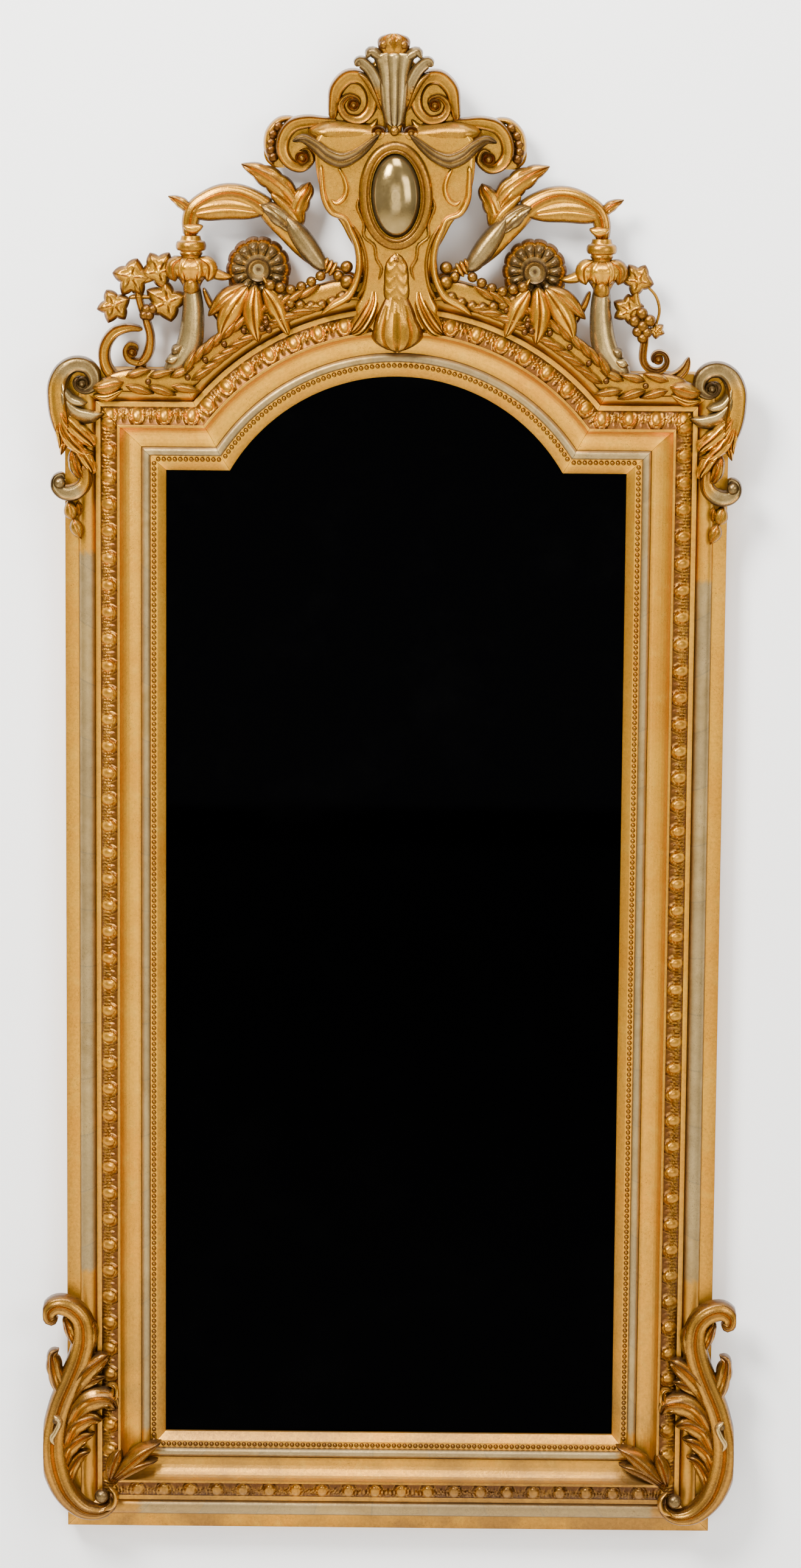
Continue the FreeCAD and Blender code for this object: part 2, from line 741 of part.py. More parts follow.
def flat_wire(points, depth, place):
    """Closed wire of straight edges at a depth."""
    corners = [Vector(x, -depth, z) for x, z in (place(*point) for point in points)]
    return Part.makePolygon(corners + corners[:1])


def eased(points, steps):
    """Points along the smooth curve through the given ones: steps to each stretch."""
    if len(points) < 3 or steps < 2:
        return points
    curve = Part.BSplineCurve()
    curve.interpolate([Vector(point[0], point[1], point[2] if len(point) > 2 else 0) for point in points])
    first, last = curve.FirstParameter, curve.LastParameter
    count = steps * (len(points) - 1)
    places = [curve.value(first + (last - first) * index / count) for index in range(count + 1)]
    return [(place.x, place.y, place.z)[:len(points[0])] for place in places]


def outline_wire(runs, depth, place, steps=1):
    """Closed wire of runs of points: a run of two points is a line, a longer one a curve."""
    points = []
    for run in runs:
        points += eased(run, steps)[:-1]
    return flat_wire(points, depth, place)


def slab(wire, thickness):
    """Solid between a flat wire and the same wire nearer the viewer."""
    return Part.Face(wire).extrude(Vector(0, -thickness, 0))


def both_sides(runs):
    """Half outline runs from the top middle to the foot, followed by their mirror image."""
    other = [[(-reach, rise) for reach, rise in reversed(run)] for run in reversed(runs)]
    return runs + other


def solid_of(polygons):
    """Solid bounded by flat faces."""
    faces = [Part.Face(Part.makePolygon(list(polygon) + [polygon[0]])) for polygon in polygons]
    solid = Part.makeSolid(Part.makeShell(faces))
    if solid.Volume < 0:
        solid.reverse()
    return solid


def ribbon(path, depth_from, depth_to, place, ridge=0.5, steps=1):
    """Carved band along (reach, rise, width) points, its front cut to a ridge: ridge is the share of
    the thickness that the two slopes take."""
    path = eased(path, steps)
    last = len(path) - 1
    shoulder = depth_to - (depth_to - depth_from) * ridge
    rows = []
    for index, (reach, rise, width) in enumerate(path):
        before = path[max(index - 1, 0)]
        after = path[min(index + 1, last)]
        along = math.hypot(after[0] - before[0], after[1] - before[1])
        across = ((before[1] - after[1]) / along, (after[0] - before[0]) / along)
        left = place(reach + across[0] * width / 2, rise + across[1] * width / 2)
        right = place(reach - across[0] * width / 2, rise - across[1] * width / 2)
        middle = ((left[0] + right[0]) / 2, (left[1] + right[1]) / 2)
        rows.append([Vector(left[0], -depth_from, left[1]), Vector(left[0], -shoulder, left[1]),
                     Vector(middle[0], -depth_to, middle[1]), Vector(right[0], -shoulder, right[1]),
                     Vector(right[0], -depth_from, right[1])])
    faces = [[row[0] for row in rows] + [row[4] for row in reversed(rows)], rows[0], rows[last]]
    for row, following in zip(rows, rows[1:]):
        faces.append([row[0], row[1], following[1], following[0]])
        faces.append([row[3], row[4], following[4], following[3]])
        faces.append([row[1], row[2], following[2]])
        faces.append([row[1], following[2], following[1]])
        faces.append([row[2], row[3], following[3]])
        faces.append([row[2], following[3], following[2]])
    return solid_of(faces)


def spiral(centre, start_radius, end_radius, start_angle, sweep, width, count):
    """Points of a shrinking scroll: angles in degrees, counter-clockwise for a positive sweep."""
    points = []
    for index in range(count + 1):
        share = index / count
        radius = start_radius * (end_radius / start_radius) ** share
        angle = math.radians(start_angle + sweep * share)
        band = width * (1 - 0.6 * share)
        points.append((centre[0] + radius * math.cos(angle), centre[1] + radius * math.sin(angle), band))
    return points


DISC_SIDES = 16


def ring_points(centre, half_width, half_height, sides):
    """Corners of a regular or stretched polygon about a centre."""
    angles = [2 * math.pi * index / sides for index in range(sides)]
    return [(centre[0] + half_width * math.cos(angle), centre[1] + half_height * math.sin(angle))
            for angle in angles]


def dome(centre, half_width, half_height, depth, height, sides, rows, place):
    """Faceted half ellipsoid that stands on a flat face."""
    rings = []
    for row in range(rows):
        angle = math.pi / 2 * row / rows
        ring = ring_points(centre, half_width * math.cos(angle), half_height * math.cos(angle), sides)
        level = depth + height * math.sin(angle)
        rings.append([Vector(x, -level, z) for x, z in (place(*point) for point in ring)])
    x, z = place(*centre)
    tip = Vector(x, -(depth + height), z)
    faces = [rings[0]]
    for lower, upper in zip(rings, rings[1:]):
        for side in range(sides):
            following = (side + 1) % sides
            faces.append([lower[side], lower[following], upper[following]])
            faces.append([lower[side], upper[following], upper[side]])
    for side in range(sides):
        faces.append([rings[-1][side], rings[-1][(side + 1) % sides], tip])
    return solid_of(faces)


def boss(centre, radius, depth_from, depth_to, place):
    """Small round boss with a domed face."""
    height = min(radius, (depth_to - depth_from) / 2)
    foot = slab(flat_wire(ring_points(centre, radius, radius, 8), depth_from, place),
                depth_to - depth_from - height)
    return foot.fuse(dome(centre, radius, radius, depth_to - height, height, 8, 2, place))


def disc(centre, radius, depth_from, depth_to, place):
    """Round plate that faces the viewer."""
    ring = ring_points(centre, radius, radius, DISC_SIDES)
    return slab(flat_wire(ring, depth_from, place), depth_to - depth_from)


def bead(centre, depth, radius, place):
    """Faceted ball, flat at the back."""
    return dome(centre, radius, radius, depth - radius / 2, radius * 1.5, 6, 2, place)


TURNED_SIDES = 8


def turned(profile, reach, depth, place):
    """Turned solid about an upright axis: profile is (radius, rise) from top to bottom."""
    rings = []
    for radius, rise in profile:
        x, z = place(reach, rise)
        ring = ring_points((x, -depth), radius, radius, TURNED_SIDES)
        rings.append([Vector(east, north, z) for east, north in ring])
    faces = [rings[0], rings[-1]]
    for upper, lower in zip(rings, rings[1:]):
        for index in range(TURNED_SIDES):
            after = (index + 1) % TURNED_SIDES
            faces.append([upper[index], upper[after], lower[after], lower[index]])
    return solid_of(faces)


def leaf_star(centre, length, turn, depth_from, depth_to, place):
    """Ivy leaf: five points with notches between them, raised in the middle."""
    shares = ((90, 1.0), (60, 0.55), (35, 0.9), (0, 0.5), (-40, 0.75), (-90, 0.35), (-140, 0.75),
              (180, 0.5), (145, 0.9), (120, 0.55))
    rim = []
    for angle, share in shares:
        direction = math.radians(angle + turn)
        rim.append(place(centre[0] + length * share * math.cos(direction),
                         centre[1] + length * share * math.sin(direction)))
    level = (depth_from + depth_to) / 2
    rear = [Vector(x, -depth_from, z) for x, z in rim]
    front = [Vector(x, -level, z) for x, z in rim]
    x, z = place(*centre)
    tip = Vector(x, -depth_to, z)
    faces = [rear]
    for index in range(len(rim)):
        following = (index + 1) % len(rim)
        faces.append([rear[index], rear[following], front[following], front[index]])
        faces.append([front[index], front[following], tip])
    return solid_of(faces)


def fused(shapes):
    """One solid of overlapping forms."""
    return shapes[0].multiFuse(shapes[1:]) if len(shapes) > 1 else shapes[0]


def frame_envelope():
    """Space that the frame takes: carvings are cut by it, so that they seat on its faces."""
    outer = plate("EnvelopeOuter", window_corners(ZERO), ZERO, size("depth_fillet"))
    inner = plate("EnvelopeInner", window_corners(size("across_fillet")), ZERO, size("depth_crown"))
    return combined("Part::Fuse", "Envelope", outer, inner)


def carve(label, forms, clear_of):
    """Node made of fused forms, cut where other pieces already are."""
    solids = []
    for form in forms:
        shape = form
        for other in clear_of:
            if shape.BoundBox.intersect(other.BoundBox):
                shape = shape.cut(other)
        solids.append(shape)
    feature = doc.addObject("Part::Feature", label.title().replace("_", ""))
    feature.Shape = solids[0] if len(solids) == 1 else Part.makeCompound(solids)
    finished(label, feature)
    return feature.Shape


def shield_form():
    """Cartouche: stepped plate with rolled borders, an oval frame and the leafy tail."""
    half = [
        [(0, 620), (104, 620)],
        [(104, 620), (112, 602), (112, 578), (108, 548), (96, 516), (78, 493)],
        [(78, 493), (70, 474), (58, 452), (51, 430), (49, 408), (54, 388), (66, 374), (82, 367),
         (100, 369)],
        [(100, 369), (101, 361)],
        [(101, 361), (84, 354), (70, 352)],
        [(70, 352), (62, 338), (48, 328)],
        [(48, 328), (38, 336), (29, 341)],
        [(29, 341), (24, 326), (12, 316), (0, 312)],
    ]
    place = crest_place(1)
    forms = [slab(outline_wire(both_sides(half), CREST_BACK, place), CREST_FRONT - CREST_BACK)]
    for side in (-1, 1):
        here = crest_place(side)
        borders = (
            [(99, 596, 9), (101, 570, 10), (95, 540, 10), (80, 513, 9)],
            [(60, 478, 8), (46, 448, 10), (42, 420, 11), (46, 396, 11), (60, 380, 10), (78, 374, 9)],
        )
        for path in borders:
            forms.append(ribbon(path, CREST_FRONT, CREST_FRONT + 7, here))
        forms.append(ribbon([(26, 376, 16), (42, 354, 24), (50, 337, 10)], CREST_FRONT,
                            CREST_FRONT + 11, here))
    forms.append(ribbon([(0, 398, 22), (0, 352, 38), (0, 320, 16)], CREST_FRONT, CREST_FRONT + 13, place))
    forms.append(oval_frame(place))
    return fused(forms)


OVAL_CENTRE = (0, 532)
OVAL_HALF_WIDTH = 36.0
OVAL_HALF_HEIGHT = 60.0
OVAL_BORDER = 11.0
OVAL_SIDES = 24


def oval_frame(place):
    """Raised border of the cabochon."""
    wires = []
    for grow, depth in ((OVAL_BORDER, CREST_FRONT), (OVAL_BORDER * 0.55, CREST_FRONT + 9)):
        ring = ring_points(OVAL_CENTRE, OVAL_HALF_WIDTH + grow, OVAL_HALF_HEIGHT + grow, OVAL_SIDES)
        wires.append(flat_wire(ring, depth, place))
    hole = ring_points(OVAL_CENTRE, OVAL_HALF_WIDTH, OVAL_HALF_HEIGHT, OVAL_SIDES)
    border = Part.makeLoft(wires, True, True)
    return border.cut(slab(flat_wire(hole, CREST_FRONT, place), 20))


def cabochon_form():
    """Oval dome that lies on the shield."""
    return dome(OVAL_CENTRE, OVAL_HALF_WIDTH - 0.3, OVAL_HALF_HEIGHT - 0.3, CREST_FRONT, 22, OVAL_SIDES, 5,
                crest_place(1))


def palmette_form():
    """Fluted shell at the top with a bud and a drop."""
    half = [
        [(0, 758), (13, 754), (18, 744), (15, 733)],
        [(15, 733), (24, 741), (31, 740), (35, 730)],
        [(35, 730), (44, 731), (51, 723), (48, 711), (38, 699), (27, 682), (18, 660), (12, 642),
         (0, 632)],
    ]
    place = crest_place(1)
    forms = [slab(outline_wire(both_sides(half), 62, place), 12)]
    forms.append(ribbon([(0, 648, 8), (0, 700, 16), (0, 742, 26)], 74, 86, place))
    forms.append(ribbon([(0, 610, 16), (0, 644, 14)], 62, 74, place))
    for side in (-1, 1):
        here = crest_place(side)
        forms.append(ribbon([(7, 650, 6), (15, 695, 12), (25, 732, 13)], 74, 83, here))
        forms.append(ribbon([(13, 660, 5), (27, 695, 10), (42, 722, 13)], 74, 81, here))
    forms.append(bead((0, 629), 70, 7, place))
    return fused(forms)


def volute_form(side):
    """Scroll beside the palmette on its own ground, which stands on the shield."""
    here = crest_place(side)
    ground = [
        [(8, 620), (100, 620)],
        [(100, 620), (92, 634)],
        [(92, 634), (94, 660), (89, 690), (75, 706), (56, 711), (36, 705), (20, 680), (10, 650)],
        [(10, 650), (8, 620)],
    ]
    forms = [slab(outline_wire(ground, CREST_BACK, here), 48 - CREST_BACK)]
    forms.append(ribbon(spiral((55, 661), 40, 13, -38, 470, 15, 10), 48, 62, here))
    forms.append(boss((55, 661), 9, 48, 60, here))
    forms.append(ribbon([(12, 628, 7), (22, 640, 9), (33, 634, 8), (31, 626, 5)], 48, 60, here))
    return fused(forms)


def ear_form(side):
    """C-scroll at the side of the shield, with a beaded fringe along its outer edge."""
    here = crest_place(side)
    rim = [(100, 612), (101, 632), (116, 646), (140, 647), (163, 634), (181, 612), (189, 588),
           (183, 570), (168, 566), (150, 559), (128, 561), (113, 573), (106, 590)]
    ground = [rim, [rim[-1], rim[0]]]
    forms = [slab(outline_wire(ground, 26, here), 18)]
    forms.append(ribbon(spiral((132, 592), 47, 12, 118, -490, 15, 10), 44, 60, here))
    forms.append(boss((132, 592), 9, 44, 58, here))
    forms.append(ribbon([(166, 628, 6), (181, 604, 9), (181, 576, 6)], 44, 54, here))
    return fused(forms)


def drape_form(side):
    """Swag of cloth from the ear scroll to the palmette, on the face of the shield."""
    path = [(118, 612, 8), (105, 606, 15), (90, 596, 22), (74, 587, 26), (58, 588, 24), (44, 598, 17),
            (31, 617, 8)]
    return ribbon(path, CREST_FRONT, CREST_FRONT + 13, crest_place(side))


def branch_form(side):
    """Fluted branch that arches from the collar to the shield, with its leaves and two balls."""
    here = crest_place(side)
    stem = [(289.5, 472, 24), (290, 496, 24), (278, 515, 24), (256, 528, 25), (230, 533, 27),
            (204, 522, 38), (180, 508, 40), (158, 488, 32), (140, 465, 26), (122, 443, 20),
            (104, 430, 15), (86, 424, 14), (66, 416, 14), (48, 410, 12)]
    forms = [ribbon(stem, 34, 58, here, 0.4)]
    forms.append(ribbon([(192, 524, 14), (164, 500, 24), (138, 472, 22), (114, 442, 14)], 56, 68, here))
    forms.append(ribbon([(174, 530, 20), (196, 552, 24), (212, 566, 16), (225, 574, 4)], 36, 52, here))
    forms.append(ribbon([(132, 466, 18), (137, 500, 24), (131, 526, 18), (124, 547, 4)], 36, 50, here))
    forms.append(ribbon([(176, 528, 12), (164, 548, 12), (152, 566, 12)], 36, 50, here))
    forms.append(ribbon([(290, 506, 12), (305, 519, 15), (320, 526, 4)], 38, 50, here))
    forms.append(ribbon([(284, 508, 8), (262, 500, 20), (240, 496, 22), (220, 508, 12)], 38, 56, here))
    for centre, radius, depth in (((104, 434), 10, 50), ((72, 427), 8, 54), ((70, 408), 12, 56)):
        forms.append(bead(centre, depth, radius, here))
    return fused(forms)


COLLAR_REACH = 289.5
COLLAR_DEPTH = 48.0


def collar_form(side):
    """Turned ring under the branch."""
    profile = [(13, 472), (13, 466), (20.5, 460), (20.5, 453), (14, 445), (14, 441)]
    return turned(profile, COLLAR_REACH, COLLAR_DEPTH, crest_place(side))


def calyx_form(side):
    """Turned bell of petals below the collar, with a thorn toward the rosette."""
    here = crest_place(side)
    profile = [(14, 441), (27, 424), (27, 414), (14, 402), (8, 396)]
    forms = [turned(profile, COLLAR_REACH, COLLAR_DEPTH, here)]
    forms.append(ribbon([(274, 428, 20), (254, 419, 12), (236, 413, 5)], 40, 50, here))
    return fused(forms)


def horn_form(side):
    """Silvered S-leaf that carries the calyx, and the strap beside it."""
    here = crest_place(side)
    leaf = [(289.5, 396, 14), (289, 378, 22), (285, 352, 31), (284, 328, 33), (290, 306, 30),
            (303, 289, 26), (320, 276, 12)]
    strap = [(285, 388, 8), (270, 370, 14), (256, 352, 14), (243, 330, 12)]
    return fused([ribbon(leaf, 34, 62, here), ribbon(strap, 34, 50, here)])


ROSETTE_CENTRE = (195, 425)
ROSETTE_PETALS = 14


def rosette_form(side):
    """Round plate on the arch with a ring of petals about a hollow boss."""
    here = crest_place(side)
    skirt = flat_wire([(152, 408), (238, 408), (232, 330), (165, 350)], CREST_BACK, here)
    forms = [disc(ROSETTE_CENTRE, 46, CREST_BACK, 40, here), slab(skirt, 40 - CREST_BACK)]
    for index in range(ROSETTE_PETALS):
        angle = 2 * math.pi * (index + 0.5) / ROSETTE_PETALS
        forms.append(petal(angle, here))
    ring = disc(ROSETTE_CENTRE, 19, 40, 52, here).cut(disc(ROSETTE_CENTRE, 12, 44, 60, here))
    return fused(forms + [ring])


def petal(angle, place):
    """Pointed petal of the rosette, raised to a ridge point."""
    cosine, sine = math.cos(angle), math.sin(angle)
    rim = []
    for radius, half in ((19, 0), (31, 6), (38, 0), (31, -6)):
        rim.append(place(ROSETTE_CENTRE[0] + radius * cosine - half * sine,
                         ROSETTE_CENTRE[1] + radius * sine + half * cosine))
    rear = [Vector(x, -38, z) for x, z in rim]
    x, z = place(ROSETTE_CENTRE[0] + 31 * cosine, ROSETTE_CENTRE[1] + 31 * sine)
    tip = Vector(x, -50, z)
    faces = [rear] + [[rear[index], rear[(index + 1) % 4], tip] for index in range(4)]
    return solid_of(faces)


def bead_string(beads, depth_from, depth_to, place):
    """Beads on a cord, cut in one piece: full width at each bead, narrow between."""
    path = []
    for before, after in zip(beads, beads[1:]):
        middle = ((before[0] + after[0]) / 2, (before[1] + after[1]) / 2, 6)
        path += [before + (16,), middle]
    path += [beads[-1] + (16,)]
    return ribbon(path, depth_from, depth_to, place, 0.6)


def festoon_form(side):
    """Two strings of beads from the rosette to the shield."""
    here = crest_place(side)
    upper = ((178, 404), (164, 401), (149, 398), (134, 403), (120, 410), (107, 418))
    lower = ((164, 386), (150, 379), (136, 376), (121, 375), (106, 377), (91, 382), (77, 389))
    forms = [bead_string(upper, 54, 72, here), bead_string(lower, 54, 72, here)]
    forms.append(ribbon([(77, 389, 7), (64, 388, 7), (48, 386, 7)], 58, 66, here))
    forms.append(ribbon([(186, 414, 7), (180, 400, 7), (164, 386, 7)], 52, 66, here))
    return fused(forms)


GARLAND_LEAVES = 8
GARLAND_OVERHANG = 4.0
GARLAND_END = 420.0


def garland_form(side):
    """Laurel garland along the arch and the shoulder, with the fan of leaves below the rosette."""
    here = crest_place(side)
    outer = CARVED_ARCH + GARLAND_OVERHANG
    inner = CARVED_ARCH - (size("across_fillet").number - 1) / SCALE
    top_rise = (TOP.number - ARCH.number) / SCALE
    joint_out = math.asin((top_rise + GARLAND_OVERHANG) / outer)
    joint_in = math.asin((top_rise - CARVED_ARCH + inner) / inner)
    start = math.radians(81)
    arcs = []
    for radius, joint in ((outer, joint_out), (inner, joint_in)):
        angles = [start + (joint - start) * step / 6 for step in range(7)]
        arcs.append([(radius * math.cos(angle), radius * math.sin(angle)) for angle in angles])
    shoulder_out = (GARLAND_END, outer * math.sin(joint_out))
    shoulder_in = (GARLAND_END, inner * math.sin(joint_in))
    runs = [arcs[0], [arcs[0][-1], shoulder_out], [shoulder_out, shoulder_in],
            [shoulder_in, arcs[1][-1]], arcs[1][::-1], [arcs[1][0], arcs[0][0]]]
    forms = [slab(outline_wire(runs, SEAT, here), 10)]
    middle = (outer + inner) / 2
    front = SEAT + 10
    for index in range(GARLAND_LEAVES):
        angle = start + (joint_in - start) * (index + 1.2) / (GARLAND_LEAVES + 0.7)
        forms.append(laurel((middle * math.cos(angle), middle * math.sin(angle)),
                            angle - math.pi / 2, 40, 20, front, here))
    for reach in (322, 354, 386):
        forms.append(laurel((reach, top_rise - 24), 0, 36, 18, front, here))
    for path in ([(206, 398, 16), (226, 372, 26), (240, 344, 6)],
                 [(196, 400, 16), (198, 366, 26), (196, 336, 8)],
                 [(188, 398, 12), (170, 370, 22), (158, 348, 5)]):
        forms.append(ribbon(path, SEAT, front + 6, here))
    return fused(forms)


def laurel(centre, heading, length, width, depth, place):
    """Pointed leaf along a heading."""
    path = []
    for share, swell in ((-0.5, 0.25), (-0.1, 1.0), (0.5, 0.2)):
        path.append((centre[0] + length * share * math.cos(heading),
                     centre[1] + length * share * math.sin(heading), width * swell))
    return ribbon(path, depth - 2, depth + 8, place)


def vine_left_form():
    """Ivy spray from the calyx down to the end scroll on the left shoulder."""
    here = crest_place(-1)
    forms = [leaf_star((377, 410), 28, 20, 38, 50, here), leaf_star((338, 419), 26, -25, 38, 50, here),
             leaf_star((326, 380), 27, 60, 38, 50, here), leaf_star((397, 372), 26, 70, 38, 50, here)]
    forms.append(ribbon([(316, 422, 12), (342, 416, 14), (360, 412, 16), (378, 410, 12)], 38, 46, here))
    forms.append(ribbon([(352, 414, 12), (354, 385, 16), (364, 362, 12), (374, 330, 12)], 38, 48, here))
    forms.append(ribbon([(330, 382, 12), (356, 378, 14), (394, 374, 10)], 38, 46, here))
    forms.append(bead((353, 366), 48, 13, here))
    scroll = [(346, 262, 14), (382, 262, 16), (408, 277, 17), (417, 304, 17)]
    forms.append(ribbon(scroll + spiral((381, 308), 35, 9, 22, 500, 16, 10), 36, 56, here))
    forms.append(boss((381, 308), 8, 36, 60, here))
    return fused(forms)


def vine_right_form():
    """Broken spray on the right: one leaf, the grapes, a hanging scroll and a stub."""
    here = crest_place(1)
    forms = [leaf_star((340, 412), 26, 30, 38, 50, here), leaf_star((330, 370), 26, 60, 38, 50, here)]
    forms.append(ribbon([(314, 421, 10), (326, 416, 12), (338, 412, 12)], 38, 46, here))
    forms.append(ribbon([(337, 410, 12), (338, 385, 16), (346, 362, 16), (351, 340, 16)], 38, 48, here))
    for reach, rise in ((346, 366), (357, 357), (336, 356)):
        forms.append(bead((reach, rise), 46, 9, here))
    forms.append(ribbon([(356, 402, 5), (368, 388, 5), (371, 370, 5), (366, 350, 5)], 40, 46, here))
    forms.append(ribbon([(352, 348, 16), (360, 340, 18), (371, 346, 8)], 38, 48, here))
    hanging = spiral((369, 303), 22, 8, 165, 400, 12, 8)
    forms.append(ribbon([(352, 348, 14), (350, 326, 14)] + hanging, 38, 56, here))
    forms.append(boss((369, 303), 7, 38, 58, here))
    forms.append(ribbon([(412, 305, 12), (406, 290, 14), (395, 278, 18), (382, 277, 20), (370, 281, 14)], 34, 56, here))
    return fused(forms)


def upper_corner_form(side):
    """Silvered scroll on the upper corner, its acanthus, the small ball scroll and the husks."""
    here = corner_place(side, TOP.number)
    tail = [(0, -112, 8), (-1, -86, 17), (-2, -58, 22), (-3, -30, 20)]
    scroll = spiral((28, -14), 33, 10, 165, -420, 18, 9)
    forms = [ribbon(tail + scroll, SEAT, 76, here, 0.4)]
    forms.append(ribbon([(2, -36, 10), (14, -52, 14), (30, -60, 14), (48, -58, 5)], SEAT, 74, here))
    forms.append(boss((28, -14), 10, SEAT, 80, here))
    forms.append(ribbon([(0, -70, 10), (16, -92, 22), (32, -108, 20), (38, -120, 6)], SEAT, 68, here))
    forms.append(ribbon([(4, -96, 14), (20, -118, 22), (26, -140, 16), (18, -158, 14)], SEAT, 68, here))
    forms.append(ribbon(spiral((8, -162), 15, 8, 10, -290, 12, 6), SEAT, 70, here))
    forms.append(boss((8, -162), 9, SEAT, 72, here))
    forms.append(ribbon([(14, -176, 8), (14, -192, 22), (18, -208, 10)], SEAT, 66, here))
    forms.append(ribbon([(17, -202, 10), (21, -222, 20), (25, -246, 5)], SEAT, 64, here))
    return fused(forms)


def lower_corner_form(side):
    """Large acanthus scroll on the lower corner, curled over at its top."""
    here = corner_place(side, 0)
    eye = (44, 61)
    stem = [(58, 44, 12), (42, 34, 16), (16, 38, 24), (-6, 66, 34), (-15, 102, 38), (-12, 138, 38),
            (-4, 172, 32), (3, 206, 30), (8, 240, 36), (17, 276, 34), (23, 306, 32), (18, 334, 28),
            (-2, 346, 22), (-22, 338, 20), (-24, 322, 14)]
    forms = [ribbon(stem, SEAT, 78, here, 0.4)]
    forms.append(ribbon(spiral(eye, 22, 12, -50, 300, 12, 7), SEAT, 76, here))
    forms.append(boss(eye, 11, SEAT, 82, here))
    leaves = (
        [(0, 150, 22), (28, 180, 26), (54, 192, 20), (72, 206, 12), (66, 221, 5)],
        [(8, 216, 16), (34, 246, 18), (60, 270, 5)],
        [(4, 190, 12), (24, 214, 14), (42, 226, 5)],
        [(2, 120, 14), (24, 148, 16), (50, 155, 5)],
        [(2, 92, 10), (13, 116, 12), (31, 127, 4)],
        [(-2, 205, 12), (-11, 240, 20), (-20, 272, 9)],
    )
    for path in leaves:
        forms.append(ribbon(path, SEAT, 74, here))
    return fused(forms)


def spray_form(side):
    """Three leaves across the lower mitre."""
    here = corner_place(side, 0)
    forms = [ribbon([(72, 76, 10), (84, 106, 18), (88, 130, 4)], SEAT, 80, here)]
    forms.append(ribbon([(72, 76, 10), (104, 106, 24), (136, 142, 4)], SEAT, 82, here))
    forms.append(ribbon([(72, 76, 8), (110, 86, 16), (142, 94, 4)], SEAT, 80, here))
    return fused(forms)


def build_ornament():
    """All the carvings, from the frame outward, so that each is cut to what carries it."""
    envelope = frame_envelope()
    brace = crest_brace_blank("CrestBraceBlank")
    nails = crest_nails("CrestNail")
    drilled = combined("Part::Cut", "CrestBrace", brace, nails)
    doc.recompute()
    finished("crest_brace", drilled)
    finished("crest_nails", nails)
    frame = envelope.Shape
    shield = carve("crest_shield", [shield_form()], [frame, brace.Shape, nails.Shape])
    carve("cabochon", [cabochon_form()], [])
    head_side = [frame, shield, brace.Shape]
    palmette = carve("palmette", [palmette_form()], [shield])
    for side, name in ((-1, "left"), (1, "right")):
        carve("volute_" + name, [volute_form(side)], [brace.Shape, palmette])
        ear = carve("ear_scroll_" + name, [ear_form(side)], [shield])
        branch = carve("branch_" + name, [branch_form(side)], [shield, ear])
        scroll = carve("corner_scroll_upper_" + name, [upper_corner_form(side)], [frame])
        lower = carve("corner_scroll_lower_" + name, [lower_corner_form(side)], [frame])
        rosette = carve("rosette_" + name, [rosette_form(side)], [frame])
        garland = carve("garland_" + name, [garland_form(side)], [frame, shield, scroll, rosette])
        PAIRS.append((side, branch, scroll, lower, rosette, garland))
    carve_pairs(frame, shield, head_side)


PAIRS = []


def carve_pairs(frame, shield, head_side):
    """Mirrored small carvings, each pair as one node."""
    carve("drapes", [drape_form(-1), drape_form(1)], [shield])
    collars = carve("collars", [collar_form(-1), collar_form(1)], [])
    rosettes = [entry[4] for entry in PAIRS]
    branches = [entry[1] for entry in PAIRS]
    garlands = [entry[5] for entry in PAIRS]
    scrolls = [entry[2] for entry in PAIRS]
    calyxes = carve("calyxes", [calyx_form(-1), calyx_form(1)], rosettes)
    horns = carve("horns", [horn_form(-1), horn_form(1)], [frame] + rosettes + garlands)
    carve("bead_festoons", [festoon_form(-1), festoon_form(1)],
          [shield] + rosettes + branches + garlands)
    sides = [frame, calyxes, collars, horns] + garlands + scrolls + branches
    carve("vine_left", [vine_left_form()], sides)
    carve("vine_right", [vine_right_form()], sides)
    carve("corner_sprays", [spray_form(-1), spray_form(1)], [frame] + [entry[3] for entry in PAIRS])


# ---------------------------------------------------------------- document

build_glazing(build_carcass())
build_members()
build_ornament()
doc.recompute()

for node in NODES:
    if "Invalid" in node.State or "Error" in node.State:
        raise RuntimeError("%s did not compute: %s" % (node.Label, node.State))
    if node.Shape.isNull() or not node.Shape.isValid() or node.Shape.Volume <= 0:
        raise RuntimeError("%s has no valid solid" % node.Label)
    node.Shape.exportStep("parts/%s.step" % node.Label)
print("%d nodes" % len(NODES))
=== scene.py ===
import math

import bpy
import numpy as np
from bpy.props import FloatProperty, FloatVectorProperty, PointerProperty
from mathutils import Matrix, Vector


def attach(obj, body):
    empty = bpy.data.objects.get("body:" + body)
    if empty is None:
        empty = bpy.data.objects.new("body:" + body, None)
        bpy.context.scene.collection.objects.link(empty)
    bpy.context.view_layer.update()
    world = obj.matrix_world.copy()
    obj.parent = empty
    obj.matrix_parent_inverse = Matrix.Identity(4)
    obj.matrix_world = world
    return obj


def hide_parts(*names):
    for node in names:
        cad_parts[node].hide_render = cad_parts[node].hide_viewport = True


bl_info = {
    "name": "Trumeau Mirror",
    "version": (1, 0, 0),
    "blender": (4, 5, 0),
    "location": "3D View > Sidebar > Mirror",
    "description": "Dresses the frame of a carved and gilded trumeau mirror",
    "category": "Add Mesh",
}

